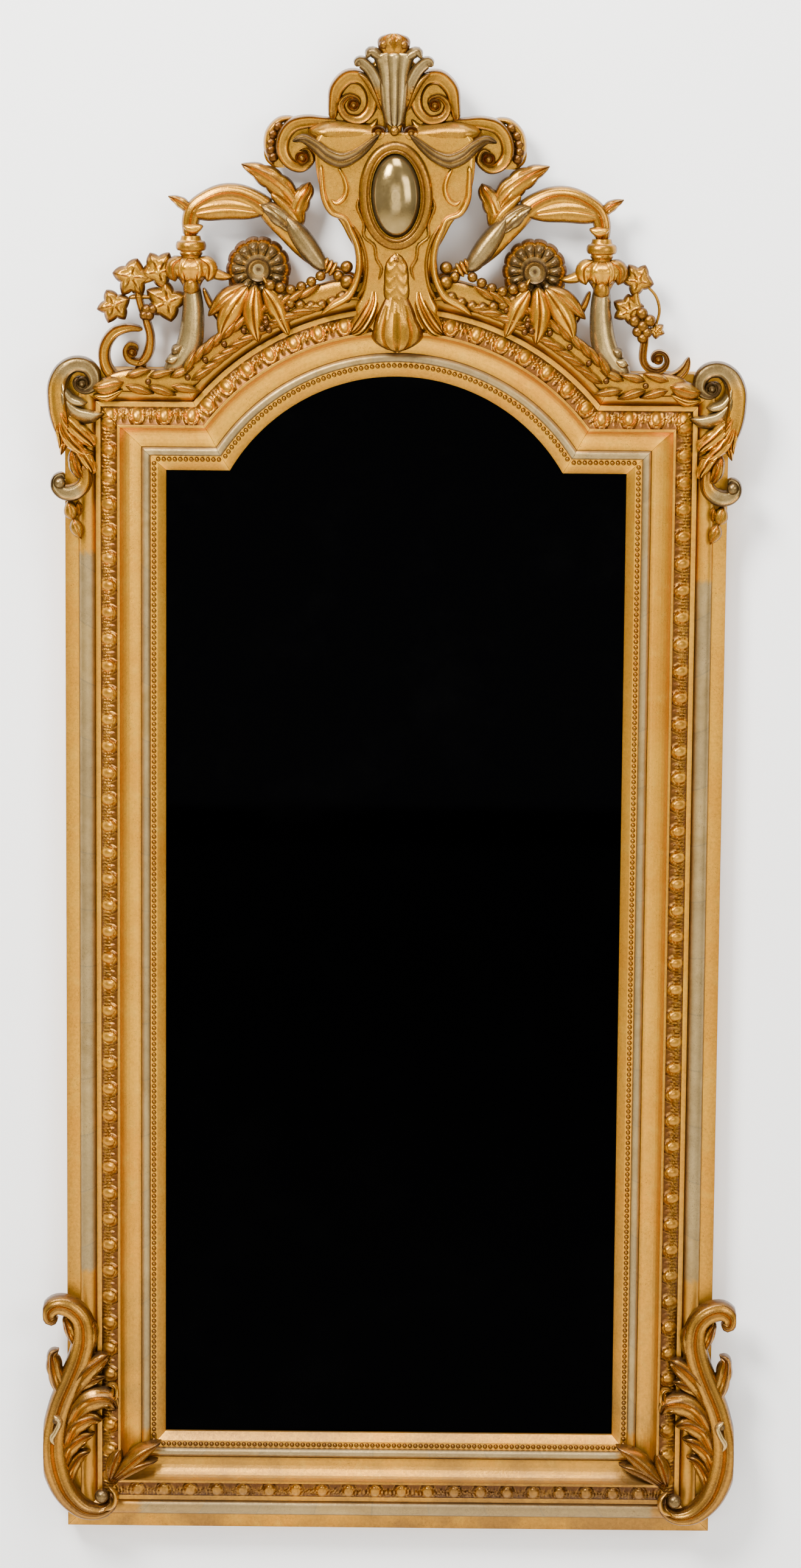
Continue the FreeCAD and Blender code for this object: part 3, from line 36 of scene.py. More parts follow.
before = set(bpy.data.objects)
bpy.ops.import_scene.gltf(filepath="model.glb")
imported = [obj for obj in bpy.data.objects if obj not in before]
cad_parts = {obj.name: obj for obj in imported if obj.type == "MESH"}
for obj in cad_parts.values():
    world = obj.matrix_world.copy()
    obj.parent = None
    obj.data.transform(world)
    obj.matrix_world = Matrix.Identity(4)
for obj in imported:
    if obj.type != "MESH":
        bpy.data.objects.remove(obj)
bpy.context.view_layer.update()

# Lengths in this file are millimetres and become metres in add_piece; the stage, the camera and the
# noise scales are in metres.  A point is (x, depth, z): depth is the distance from the wall, across
# the distance inward from the frame's outer edge, reach and rise are measured from the centre of
# the arch, inward and rise from a corner.
MM = 0.001
HALF = 471.5
TOP = 1706.0
ARCH = 1424.0
ARCH_OUT = 418.0
# Distances across at which the steps of the moulding end, from the fascia to the rebate.
FASCIA, TORUS, FILLET, EGGS, CROWN, COVE, STRIP, BED, SIGHT, REBATE = (
    19.0, 44.8, 51.5, 76.0, 80.0, 109.0, 122.6, 132.0, 144.0, 134.0)
# Depths of the moulding: front of the carcass, seats of the strips, top of the crown, foot of the
# cove, sight edge and glass.
CARCASS, OUTER_SEAT, EGG_SEAT, CROWN_TOP, COVE_FOOT, INNER_SEAT, PEARL_BED, SIGHT_LIP, GLASS = (
    34.0, 38, 52, 70, 46, 44, 42, 32, 26.2)
# A strip or carving stands clear of its seat by this much; the carvings have the seat of the eggs.
CLEAR = 0.1
SEAT = EGG_SEAT + CLEAR
MEMBERS = ("left", "right", "bottom", "shoulder_left", "shoulder_right", "arch")
HEAD = ("shoulder_left", "shoulder_right", "arch")
GROUPS = (("left", ("left",)), ("right", ("right",)), ("bottom", ("bottom",)), ("head", HEAD))


# ---------------------------------------------------------------- meshes


def wobble(x, z, size, seed=0.0):
    """Hand-made unevenness: a sum of three slow waves of the place, between -size and size."""
    wave = np.sin(x / 83.0 + 1.7 * seed) * np.cos(z / 61.0 - seed)
    wave = wave + 0.6 * np.sin((x + z) / 29.0 + 2.3 * seed)
    wave = wave + 0.4 * np.cos((x - 2 * z) / 17.0 + seed)
    return size * wave / 2.0


def shell_of(vertices, faces, silver=0.0, run=None, level=None):
    """Closed shell: vertices (n, 3), a list of faces, the silvered share of each vertex, its
    distance along the run and its level, the height it stands at in its own carving from 0 to 1.
    A shell whose signed volume is negative is turned right side out."""
    vertices = np.asarray(vertices, float).reshape(-1, 3)
    quads = [face for face in faces if len(face) == 4]
    total = 0.0
    if quads:
        corner = vertices[np.array(quads)]
        for a, b, c in ((0, 1, 2), (0, 2, 3)):
            cross = np.cross(corner[:, b], corner[:, c])
            total += float(np.sum(corner[:, a] * cross))
    for face in faces:
        if len(face) != 4:
            fan = vertices[list(face)]
            cross = np.cross(fan[1:-1], fan[2:])
            total += float(np.sum(fan[0] * cross))
    if total > 0:
        faces = [face[::-1] for face in faces]
    count = len(vertices)
    tint = np.broadcast_to(np.asarray(silver, float), (count,)).copy()
    along = np.zeros(count) if run is None else np.asarray(run, float).reshape(-1)
    # The level also lets add_piece paint shade toward the foot of each shell.
    if level is None:
        depth = vertices[:, 1]
        level = (depth - depth.min()) / (np.ptp(depth) + 1e-9)
    level = np.broadcast_to(np.asarray(level, float).reshape(-1), (count,))
    return vertices, faces, tint, along, level


def ring_faces(rows, columns, closed_rows=False):
    """Faces of a grid of rings: each ring of columns points is joined to the next."""
    top = rows if closed_rows else rows - 1
    i, j = np.meshgrid(np.arange(top), np.arange(columns), indexing="ij")
    k = (i + 1) % rows
    m = (j + 1) % columns
    grid = np.stack([i * columns + j, i * columns + m, k * columns + m, k * columns + j], axis=-1)
    return grid.reshape(-1, 4).tolist()


def tube(rings, silver=0.0, run=None, closed=False, level=None):
    """Solid through a stack of rings (rows, columns, 3), closed by its end rings or round again."""
    rows, columns = rings.shape[:2]
    faces = ring_faces(rows, columns, closed)
    if not closed:
        faces.append(list(range(columns)))
        faces.append(list(range((rows - 1) * columns, rows * columns))[::-1])
    return shell_of(rings, faces, silver, run, level)


def shade_values(mesh):
    """Ridge value of each vertex: how far its neighbours lie below its tangent plane, as a share of
    the distance to them, then averaged twice with the neighbours; 0.5 is flat, 1 a sharp ridge."""
    count = len(mesh.vertices)
    place = np.empty(count * 3)
    mesh.vertices.foreach_get("co", place)
    place = place.reshape(-1, 3)
    normal = np.empty(count * 3)
    mesh.vertices.foreach_get("normal", normal)
    normal = normal.reshape(-1, 3)
    ends = np.empty(len(mesh.edges) * 2, dtype=np.int64)
    mesh.edges.foreach_get("vertices", ends)
    first, second = ends[0::2], ends[1::2]
    step = place[second] - place[first]
    length = np.linalg.norm(step, axis=1) + 1e-9
    fall = -np.sum(step * normal[first], axis=1) / length
    back = np.sum(step * normal[second], axis=1) / length
    degree = np.bincount(first, minlength=count) + np.bincount(second, minlength=count)
    degree = np.maximum(degree, 1)
    value = np.bincount(first, fall, count) + np.bincount(second, back, count)
    value = value / degree
    for _ in range(2):
        shared = np.bincount(first, value[second], count) + np.bincount(second, value[first], count)
        value = 0.5 * value + 0.5 * shared / degree
    return np.clip(0.5 + 1.1 * value, 0.0, 1.0)


def add_piece(name, shells, material, replaced=(), crease=50.0, sink=0.42):
    """One object from closed shells, smooth except over creases, with its silver, run and ridge
    values, riding on the frame.  The ridge value falls by sink toward the foot of each carving, so
    that painted shade darkens the foot."""
    vertices, faces, tints, runs, levels = [], [], [], [], []
    base = 0
    for points, polygons, tint, along, level in shells:
        vertices.append(points)
        faces += [[base + index for index in face] for face in polygons]
        tints.append(tint)
        runs.append(along)
        levels.append(level)
        base += len(points)
    points = np.concatenate(vertices)
    place = np.stack([points[:, 0], -points[:, 1], points[:, 2]], axis=1) * MM
    mesh = bpy.data.meshes.new(name)
    mesh.from_pydata(place.tolist(), [], [face[::-1] for face in faces])
    mesh.polygons.foreach_set("use_smooth", [True] * len(mesh.polygons))
    mesh.set_sharp_from_angle(angle=math.radians(crease))
    mesh.validate()
    for label, values in (("silver", np.concatenate(tints)), ("run", np.concatenate(runs) * MM)):
        layer = mesh.attributes.new(label, "FLOAT", "POINT")
        layer.data.foreach_set("value", values.astype(np.float32))
    layer = mesh.attributes.new("ridge", "FLOAT", "POINT")
    # Painted shade: lowering the ridge value near the foot of each carving darkens it there, the
    # way the hollows are darkened.
    foot = np.clip(1 - np.concatenate(levels) / 0.72, 0, 1) ** 0.8
    ridge = np.clip(shade_values(mesh) - sink * foot, 0.0, 1.0)
    layer.data.foreach_set("value", ridge.astype(np.float32))
    mesh.materials.append(material)
    piece = bpy.data.objects.new(name, mesh)
    bpy.context.scene.collection.objects.link(piece)
    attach(piece, "root")
    if replaced:
        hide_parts(*replaced)
    return piece


# ---------------------------------------------------------------- frame members


def member_points(member, across, share):
    """Points (x, z) of a member's outline, set in by across, at shares 0 to 1 of its run; the ends
    lie on the mitres."""
    half = HALF - across
    top = TOP - across
    radius = ARCH_OUT - across
    rise = top - ARCH
    joint = np.sqrt(radius ** 2 - rise ** 2)
    angle = np.arctan2(rise, joint)
    zero = np.zeros_like(half)
    runs = {
        "bottom": (-half, across + zero, half, across + zero),
        "right": (half, across + zero, half, top),
        "shoulder_right": (half, top, joint, top),
        "shoulder_left": (-joint, top, -half, top),
        "left": (-half, top, -half, across + zero),
    }
    if member == "arch":
        turn = angle + (np.pi - 2 * angle) * share
        return radius * np.cos(turn), ARCH + radius * np.sin(turn)
    x0, z0, x1, z1 = runs[member]
    return x0 + (x1 - x0) * share, z0 + (z1 - z0) * share


def between(value, start, stop, soft):
    """1 where a value lies between start and stop, falling to 0 over a soft edge inside them."""
    return np.clip((value - start) / soft, 0, 1) * np.clip((stop - value) / soft, 0, 1)


def member_length(member, across):
    """Length of a member at a distance across."""
    x, z = member_points(member, np.float64(across), np.linspace(0, 1, 65))
    return float(np.sum(np.hypot(np.diff(x), np.diff(z))))


def softened(loop, radius):
    """Closed section with each corner replaced by a short curve: points a radius away from the
    corner are joined by a quadratic arc that the corner pulls."""
    loop = np.asarray(loop, float)
    before = np.roll(loop, 1, axis=0) - loop
    after = np.roll(loop, -1, axis=0) - loop
    reach_in = np.minimum(radius, np.linalg.norm(before, axis=1) * 0.4)[:, None]
    reach_out = np.minimum(radius, np.linalg.norm(after, axis=1) * 0.4)[:, None]
    start = loop + before / np.linalg.norm(before, axis=1)[:, None] * reach_in
    end = loop + after / np.linalg.norm(after, axis=1)[:, None] * reach_out
    share = np.linspace(0, 1, 3)[None, :, None]
    curve = start[:, None] * (1 - share) ** 2 + loop[:, None] * 2 * share * (1 - share)
    curve = curve + end[:, None] * share ** 2
    return curve.reshape(-1, 2)


MITRE_GAP = 0.25
UNEVEN = 0.25


def run_section(member, section, spacing, silver=None, seed=0.0):
    """Section (across, depth) carried along a member between its mitres: the ends stop a hair
    short, so the mitre shows as a crack, and the front is uneven."""
    length = member_length(member, float(section[:, 0].mean()))
    count = max(int(length / spacing), 4)
    share = np.linspace(MITRE_GAP / length, 1 - MITRE_GAP / length, count + 1)[:, None]
    across, depth = section[:, 0][None, :], section[:, 1][None, :]
    x, z = member_points(member, across, share)
    front = np.clip((depth - CARCASS) / 10.0, 0, 1)
    lift = wobble(x, z, UNEVEN, seed) * front
    rings = np.stack([x, depth + 0 * x + lift, z], axis=-1)
    run = share * length + 0 * across
    tint = 0.0 if silver is None else silver(x, z).reshape(-1)
    return tube(rings, tint, run, level=1.0)


def moulding_section():
    """Section of the frame moulding: fascia, seats of the strips, crown, cove and sight edge."""
    bend = np.linspace(0, np.pi / 2, 9)[1:-1]
    cove = np.stack([COVE - (COVE - CROWN) * np.cos(bend),
                     COVE_FOOT + (CROWN_TOP - COVE_FOOT) * (1 - np.sin(bend))], axis=1)
    loop = [(0.3, CARCASS), (0.3, OUTER_SEAT), (FASCIA, OUTER_SEAT), (TORUS, OUTER_SEAT),
            (TORUS, EGG_SEAT), (FILLET, EGG_SEAT), (EGGS, EGG_SEAT), (EGGS, CROWN_TOP),
            (CROWN, CROWN_TOP)] + cove.tolist() + [
        (COVE, COVE_FOOT), (COVE, INNER_SEAT), (STRIP, INNER_SEAT), (STRIP, PEARL_BED),
        (BED, PEARL_BED), (SIGHT, SIGHT_LIP), (SIGHT, GLASS), (REBATE, GLASS), (REBATE, CARCASS)]
    return softened(loop, 0.7)


def round_section(start, end, seat, peak):
    """Half-round section from start to end: depth follows the sine of the angle."""
    turn = np.linspace(0, np.pi, 15)
    middle, half = (start + end) / 2, (end - start) / 2
    across = middle - half * np.cos(turn)
    depth = seat + (peak - seat) * np.sin(turn)
    return np.stack([across, depth], axis=1)


# The egg: half width, half height, its middle inward from the fillet, and its height.
EGG_HALF, EGG_TALL, EGG_AT, EGG_HIGH = 7.6, 10.0, 10.6, 7.4
# The husk: its place in egg radii, its width in egg radii and its height.
HUSK_AT, HUSK_WIDE, HUSK_HIGH = 1.38, 0.17, 5.6
SHAFT_HIGH, PRONG_HIGH, PIT_DEEP = 5.2, 4.4, 3.0
EGG_SCALE = 0.82


def egg_height(along, inward, pitch):
    """Height of the egg-and-dart above its ground: the largest of an egg (half ellipsoid), its
    U-shaped husk (a ridge outside the egg) and the three-pronged dart between eggs."""
    near = (along / pitch + 0.5) % 1.0 - 0.5
    near = near * pitch
    rho = np.sqrt((near / EGG_HALF) ** 2 + ((inward - EGG_AT) / EGG_TALL) ** 2)
    egg = EGG_HIGH * np.sqrt(np.clip(1 - rho ** 2, 0, 1))
    open_side = 1 / (1 + np.exp(-(inward - 1.5) / 0.9))
    husk = HUSK_HIGH * np.exp(-((rho - HUSK_AT) / HUSK_WIDE) ** 2) * open_side
    away = pitch / 2 - np.abs(near)
    reach = np.clip((22.5 - inward) / 8.0, 0, 1) * open_side
    shaft = SHAFT_HIGH * np.exp(-(away / 1.5) ** 2) * reach
    prong_at = 4.4 + 0.12 * (inward - 11) + 1.4 * np.exp(-((inward - 4) / 3.0) ** 2)
    prong = PRONG_HIGH * np.exp(-((away - prong_at) / 1.0) ** 2)
    prong = prong * np.clip((17 - inward) / 5.0, 0, 1) * open_side
    pit = PIT_DEEP * np.exp(-(away ** 2 + (inward - 3.6) ** 2) / 2.2)
    return np.maximum.reduce([egg, husk, shaft - pit, prong])


def backed(front, low):
    """Rings of a front grid closed at the back: both edges are repeated at the depth low."""
    edges = np.stack([front[:, 0], front[:, -1]])
    edges[..., 1] = low
    return np.concatenate([edges[0][:, None], front, edges[1][:, None]], axis=1)


def egg_strip(member, pitch):
    """Egg-and-dart along a member: a grid whose depth is an ovolo ground plus the egg height."""
    middle = 63.0
    length = member_length(member, middle)
    count = int(length / 1.6)
    share = np.linspace(0.15 / length, 1 - 0.15 / length, count + 1)[:, None]
    inward = np.linspace(0.2, EGGS - FILLET - 0.2, 19)[None, :]
    x, z = member_points(member, FILLET + inward, share)
    if member == "arch":
        along = (np.arctan2(z - ARCH, x) - np.pi / 2) * (ARCH_OUT - middle)
        units = max(round(length / pitch), 1)
        step = length / units
        along = along + (0 if units % 2 else step / 2)
    elif member in ("left", "right"):
        along, step = z - 1438.0, pitch
    else:
        along, step = np.abs(x) - 0.5 * pitch, pitch
    height = egg_height(along, inward, step)
    ground = 51.8 + 12.0 * (inward / 24.5) ** 0.75
    depth = np.minimum(ground + 0.8 + height * EGG_SCALE, 69.6) + wobble(x, z, 0.15)
    rings = backed(np.stack([x, np.maximum(depth, SEAT + 0.3), z], axis=-1), SEAT)
    run = np.broadcast_to(share * length, rings.shape[:2])
    # Each point's level, its height within the egg, lets add_piece paint shade at the foot of the
    # eggs.
    level = np.clip(height / 4.6, 0, 1) + 0 * x
    level = np.concatenate([0 * level[:, :1], level, 0 * level[:, :1]], axis=1)
    return tube(rings, 0.0, run, level=level)


def grid_ball(centre, radius, columns, rows, low, squash=1.0, silver=0.0):
    """Ball cut off at the back: rings at equal angles from the cut to the tip, with a closing
    point at the front; low is the share of the radius kept behind the centre."""
    start = -math.asin(low)
    turn = np.linspace(start, np.pi / 2, rows + 1)[:-1]
    around = np.linspace(0, 2 * np.pi, columns, endpoint=False)
    ring = np.cos(turn)[:, None] * radius
    x = centre[0] + ring * np.cos(around)[None, :]
    z = centre[2] + ring * np.sin(around)[None, :]
    depth = centre[1] + (np.sin(turn)[:, None] * radius * squash + 0 * x)
    points = np.stack([x, depth, z], axis=-1).reshape(-1, 3)
    points = np.concatenate([points, [[centre[0], centre[1] + radius * squash, centre[2]]]])
    faces = ring_faces(rows, columns)
    tip = rows * columns
    last = (rows - 1) * columns
    faces += [[last + j, last + (j + 1) % columns, tip] for j in range(columns)]
    faces.append(list(range(columns))[::-1])
    return shell_of(points, faces, silver)


PEARL = 3.6


def pearl_row(member, pitch):
    """Pearls along a member: balls at equal steps on the middle of the pearl bed."""
    middle = (STRIP + BED) / 2
    length = member_length(member, middle)
    count = max(int(round(length / pitch)) - 1, 1)
    share = (np.arange(count) + 0.75) / (count + 0.5)
    x, z = member_points(member, np.float64(middle), share)
    return [grid_ball((px, PEARL_BED + 0.3, pz), PEARL, 8, 3, 0.1) for px, pz in zip(x, z)]


# ---------------------------------------------------------------- carving


# Reach beyond which no corner carving goes, the lean of the crest (rise, shift), the axis of the
# collars and calyxes, and the centres of the cabochon and the rosettes.
WIDEST = 505.0
LEAN = ((300.0, 532.0, 660.0, 758.0), (0.0, -3.5, -7.0, -8.0))
ARM = 289.5
OVAL = (0.0, 532.0)
ROSETTE = (195.0, 425.0)


def crest(side):
    """Place of crest points (reach, rise): the old crest leans a little to the left."""
    return lambda reach, rise: (side * reach + np.interp(rise, *LEAN), ARCH + rise)


def corner(side, height):
    """Place of corner points (inward, rise), kept within the widest reach."""
    return lambda inward, rise: (side * np.minimum(HALF - inward, WIDEST), height + rise)


def curve_through(points, count):
    """Smooth curve through points (Catmull-Rom, spaced by the square root of the chord): count
    samples at equal shares, any number of columns."""
    points = np.asarray(points, float)
    extended = np.vstack([2 * points[0] - points[1], points, 2 * points[-1] - points[-2]])
    chord = np.sqrt(np.linalg.norm(np.diff(extended[:, :2], axis=0), axis=1) + 1e-6)
    knots = np.concatenate([[0], np.cumsum(chord)])
    inner = knots[1:-1]
    at = np.linspace(inner[0], inner[-1], count)
    index = np.clip(np.searchsorted(knots, at, side="right") - 1, 1, len(points) - 1)
    p0, p1, p2, p3 = (extended[index + k] for k in (-1, 0, 1, 2))
    t0, t1, t2, t3 = (knots[index + k] for k in (-1, 0, 1, 2))
    t0, t1, t2, t3, at = (v[:, None] for v in (t0, t1, t2, t3, at))
    a1 = (t1 - at) / (t1 - t0) * p0 + (at - t0) / (t1 - t0) * p1
    a2 = (t2 - at) / (t2 - t1) * p1 + (at - t1) / (t2 - t1) * p2
    a3 = (t3 - at) / (t3 - t2) * p2 + (at - t2) / (t3 - t2) * p3
    b1 = (t2 - at) / (t2 - t0) * a1 + (at - t0) / (t2 - t0) * a2
    b2 = (t3 - at) / (t3 - t1) * a2 + (at - t1) / (t3 - t1) * a3
    return (t2 - at) / (t2 - t1) * b1 + (at - t1) / (t2 - t1) * b2


def set_out(place, reach, rise, depth, rough=0.0, seed=0.0):
    """Points (x, depth, z) of a grid set out by reach and rise, with a hand-made roughness."""
    x, z = place(reach, rise)
    return np.stack(np.broadcast_arrays(x, depth + wobble(x, z, rough, seed), z), axis=-1)


def relief(style, v, s, size):
    """Height share of a carved band at v (-1 to 1 across) and s (0 to 1 along); size is the band's
    length over its greatest width."""
    away = np.abs(v)
    edge = np.sqrt(np.clip(1 - away ** 2.6, 0, 1))
    if style == "round":
        return 0.30 + 0.70 * np.sqrt(np.clip(1 - v ** 2, 0, 1))
    if style == "channel":
        rims = np.exp(-((away - 0.74) / 0.2) ** 2)
        return 0.30 + 0.70 * np.clip(0.45 * edge + 0.62 * rims, 0, 1)
    if style == "lip":
        return 0.25 + 0.75 * np.clip(edge * (0.62 + 0.38 * v), 0, 1)
    if style == "flute":
        reeds = np.abs(np.sin(2 * np.pi * (v + 1)))
        return 0.35 + 0.65 * edge * (0.74 + 0.26 * np.sqrt(reeds))
    if style == "cloth":
        folds = np.cos(np.pi * 2.6 * v + 0.6)
        return 0.25 + 0.75 * edge * (0.78 + 0.22 * folds)
    if style in ("left_rim", "right_rim"):
        turn = v if style == "left_rim" else -v
        rim = np.exp(-((turn + 0.76) / 0.19) ** 2) + 0.45 * np.exp(-((turn - 0.82) / 0.14) ** 2)
        return 0.15 + 0.85 * np.clip(0.56 * edge + 0.50 * rim, 0, 1)
    if style == "scales":
        fall = (size * 2.6 * s + 0.32 * np.cos(np.pi * 2 * v)) % 1.0
        return 0.30 + 0.70 * edge * (0.70 + 0.30 * fall)
    if style == "shell":
        flutes = np.abs(np.cos(2.5 * np.pi * v))
        return 0.25 + 0.75 * edge * (0.66 + 0.34 * flutes * np.clip(s * 2, 0, 1))
    if style == "lily":
        flutes = np.abs(np.cos(1.5 * np.pi * v)) ** 0.8
        return 0.25 + 0.75 * edge * (0.72 + 0.28 * flutes) * (0.86 + 0.14 * s)
    groove = np.exp(-(v / 0.12) ** 2)
    if style == "laurel":
        return 0.25 + 0.75 * np.clip(edge * (1 - 0.20 * away) - 0.22 * groove, 0, 1)
    flutes = np.abs(np.sin(2 * np.pi * (v - 0.25 * (1 - s))))
    body = edge * (0.76 + 0.24 * np.sqrt(flutes))
    return 0.20 + 0.80 * np.clip(body - 0.22 * groove, 0, 1)


def band(place, path, low, high, style="leaf", lobes=0.0, silver=0.0, curl=0.0, seed=0.0):
    """Carved band along (reach, rise, width) points: a grid whose width follows the path, scalloped
    by lobes, and whose depth runs from low to high by its relief; curl lifts its far end.  Silver
    is a share, or the start and end of the silvered part of its length."""
    path = np.asarray(path, float)
    length = float(np.sum(np.linalg.norm(np.diff(path[:, :2], axis=0), axis=1)))
    widest = float(path[:, 2].max())
    rows = int(np.clip(length / 2.6, 14, 96))
    columns = 21 if widest > 12 else 13
    line = curve_through(path, rows)
    width = np.maximum(line[:, 2], 1.2)
    heading = np.gradient(line[:, :2], axis=0)
    heading = heading / (np.linalg.norm(heading, axis=1)[:, None] + 1e-9)
    normal = np.stack([-heading[:, 1], heading[:, 0]], axis=1)
    s = np.linspace(0, 1, rows)[:, None]
    v = np.sin(np.linspace(-np.pi / 2, np.pi / 2, columns))[None, :]
    size = length / widest
    scallop = 1.0
    if lobes:
        count = max(round(size * 1.3), 2)
        wave = np.abs(np.sin(np.pi * (count * s + 0.15 * np.sign(v)))) ** 0.7
        scallop = 1 - lobes * (1 - wave) * np.abs(v)
    spread = v * scallop * width[:, None] / 2
    tip = np.minimum(1.0, np.minimum(s, 1 - s) * rows / 2.2 + 0.25) ** 0.6
    reach = line[:, :1] + normal[:, :1] * spread * tip
    rise = line[:, 1:2] + normal[:, 1:2] * spread * tip
    share = relief(style, v, s, size) * (0.72 + 0.28 * tip)
    narrow = np.clip(width[:, None] / widest, 0, 1) ** 0.35
    depth = low + (high - low) * share * narrow + curl * s ** 2
    front = set_out(place, reach, rise, depth, 0.35, seed)
    front[..., 1] = np.clip(front[..., 1], low + 0.4, high + curl)
    rings = backed(front, low)
    run = np.broadcast_to(s * length, rings.shape[:2])
    if np.ndim(silver):
        start, stop = silver
        silver = between(s, start, stop, 0.08) + 0 * rings[..., 0]
        silver = silver.reshape(-1)
    return tube(rings, silver, run)


def carve(place, rows):
    """Shells in their order: each row names what makes the shell and gives its values."""
    return [make(place, *values) for make, *values in rows]


def spiral(centre, start_radius, end_radius, start_angle, sweep, width, count):
    """Points of a shrinking scroll: the radius falls by equal ratios over the sweep in degrees, and
    the width falls to two fifths."""
    share = np.linspace(0, 1, count + 1)
    radius = start_radius * (end_radius / start_radius) ** share
    angle = np.radians(start_angle + sweep * share)
    points = np.stack([centre[0] + radius * np.cos(angle), centre[1] + radius * np.sin(angle),
                       width * (1 - 0.6 * share)], axis=1)
    return [tuple(point) for point in points]


def ball(place, centre, radius, depth, silver=0.0, columns=20, rows=8, squash=1.0):
    """Round ball or boss at a crest or corner point."""
    x, z = place(*centre)
    return grid_ball((float(x), depth, float(z)), radius, columns, rows, 0.75, squash, silver)


def eye(place, centre, radius, low, high, silver=0.0):
    """Round eye of a scroll: a lathe section with a rolled rim, a hollow and a button."""
    share = np.array([1.0, 1.0, 0.97, 0.86, 0.72, 0.62, 0.52, 0.40, 0.22, 0.04])
    level = np.array([0.0, 0.55, 0.78, 0.90, 0.80, 0.62, 0.72, 0.92, 1.0, 1.0])
    turn = np.linspace(0, 2 * np.pi, 28, endpoint=False)[None, :]
    x0, z0 = place(*centre)
    x = x0 + radius * share[:, None] * np.cos(turn)
    z = z0 + radius * share[:, None] * np.sin(turn)
    depth = low + (high - low) * level[:, None] + 0 * turn
    return tube(np.stack([x, depth, z], axis=-1), silver)


def star_leaf(place, centre, length, turn, low, high):
    """Ivy leaf with five points: a polar grid whose radius follows the points, with a vein to each
    point and waves between the veins."""
    degrees = np.array([-180, -140, -115, -90, -65, -40, -20, 0, 18, 35, 48, 60, 75, 90, 105, 120,
                        132, 145, 162, 180.0])
    shares = np.array([0.34, 0.72, 0.5, 0.30, 0.5, 0.72, 0.55, 0.46, 0.66, 0.88, 0.70, 0.52, 0.74,
                       1.0, 0.74, 0.52, 0.70, 0.88, 0.6, 0.34])
    vein_at = np.array([90, 35, 145, -40, -140])
    around = np.linspace(-180, 180, 72, endpoint=False)
    rim = np.interp(around, degrees, shares) ** 0.55
    ring = np.linspace(0.04, 1, 12)[:, None]
    angle = np.radians(around + turn)[None, :]
    reach = centre[0] + length * ring * rim * np.cos(angle)
    rise = centre[1] + length * ring * rim * np.sin(angle)
    off = np.abs((around[:, None] - vein_at + 180) % 360 - 180)
    veins = np.exp(-(off / 7.0) ** 2).max(axis=1)[None, :]
    body = 1 - 0.55 * ring ** 2 + 0.16 * veins * ring ** 0.5
    body = body + 0.10 * np.cos(ring * 9) * (1 - veins)
    points = set_out(place, reach, rise, low + (high - low) * np.clip(body, 0, 1.05))
    skirt = points[-1:].copy()
    skirt[..., 1] = low
    return tube(np.concatenate([points, skirt]))


def turned(place, profile, petals=0):
    """Turned piece about the upright axis of the collars, from (radius, rise) pairs, waisted
    between its petals."""
    line = curve_through(profile, len(profile) * 4)
    turn = np.linspace(0, 2 * np.pi, 32, endpoint=False)[None, :]
    radius = line[:, :1] * (1 - 0.14 * np.abs(np.sin(petals * turn / 2)))
    x0, z = place(ARM, line[:, 1:2])
    x = x0 + radius * np.cos(turn)
    depth = 48 + radius * np.sin(turn)
    return tube(np.stack([x, depth, z + 0 * turn], axis=-1))


def slab_of(place, rows, low, high, roll):
    """Plate between two edges: rows of (rise, left reach, right reach).  The front lies at the
    depth high and is rounded over at the edge by roll."""
    rows = np.asarray(rows, float)
    line = curve_through(np.stack([rows[:, 0], 0 * rows[:, 0], rows[:, 1], rows[:, 2]], axis=1),
                         len(rows) * 5)
    rise, left, right = line[:, 0:1], line[:, 2:3], line[:, 3:4]
    v = np.sin(np.linspace(-np.pi / 2, np.pi / 2, 41))[None, :]
    reach = (left + right) / 2 + (right - left) / 2 * v
    inside = np.minimum(reach - left, right - reach)
    ends = np.minimum(np.abs(rise - rise[0]), np.abs(rise - rise[-1]))
    inside = np.minimum(inside, ends + 3.0)
    depth = high - roll * np.clip(1 - inside / 6.0, 0, 1) ** 2
    return tube(backed(set_out(place, reach, rise, depth, 0.4), low))


# ---------------------------------------------------------------- crest


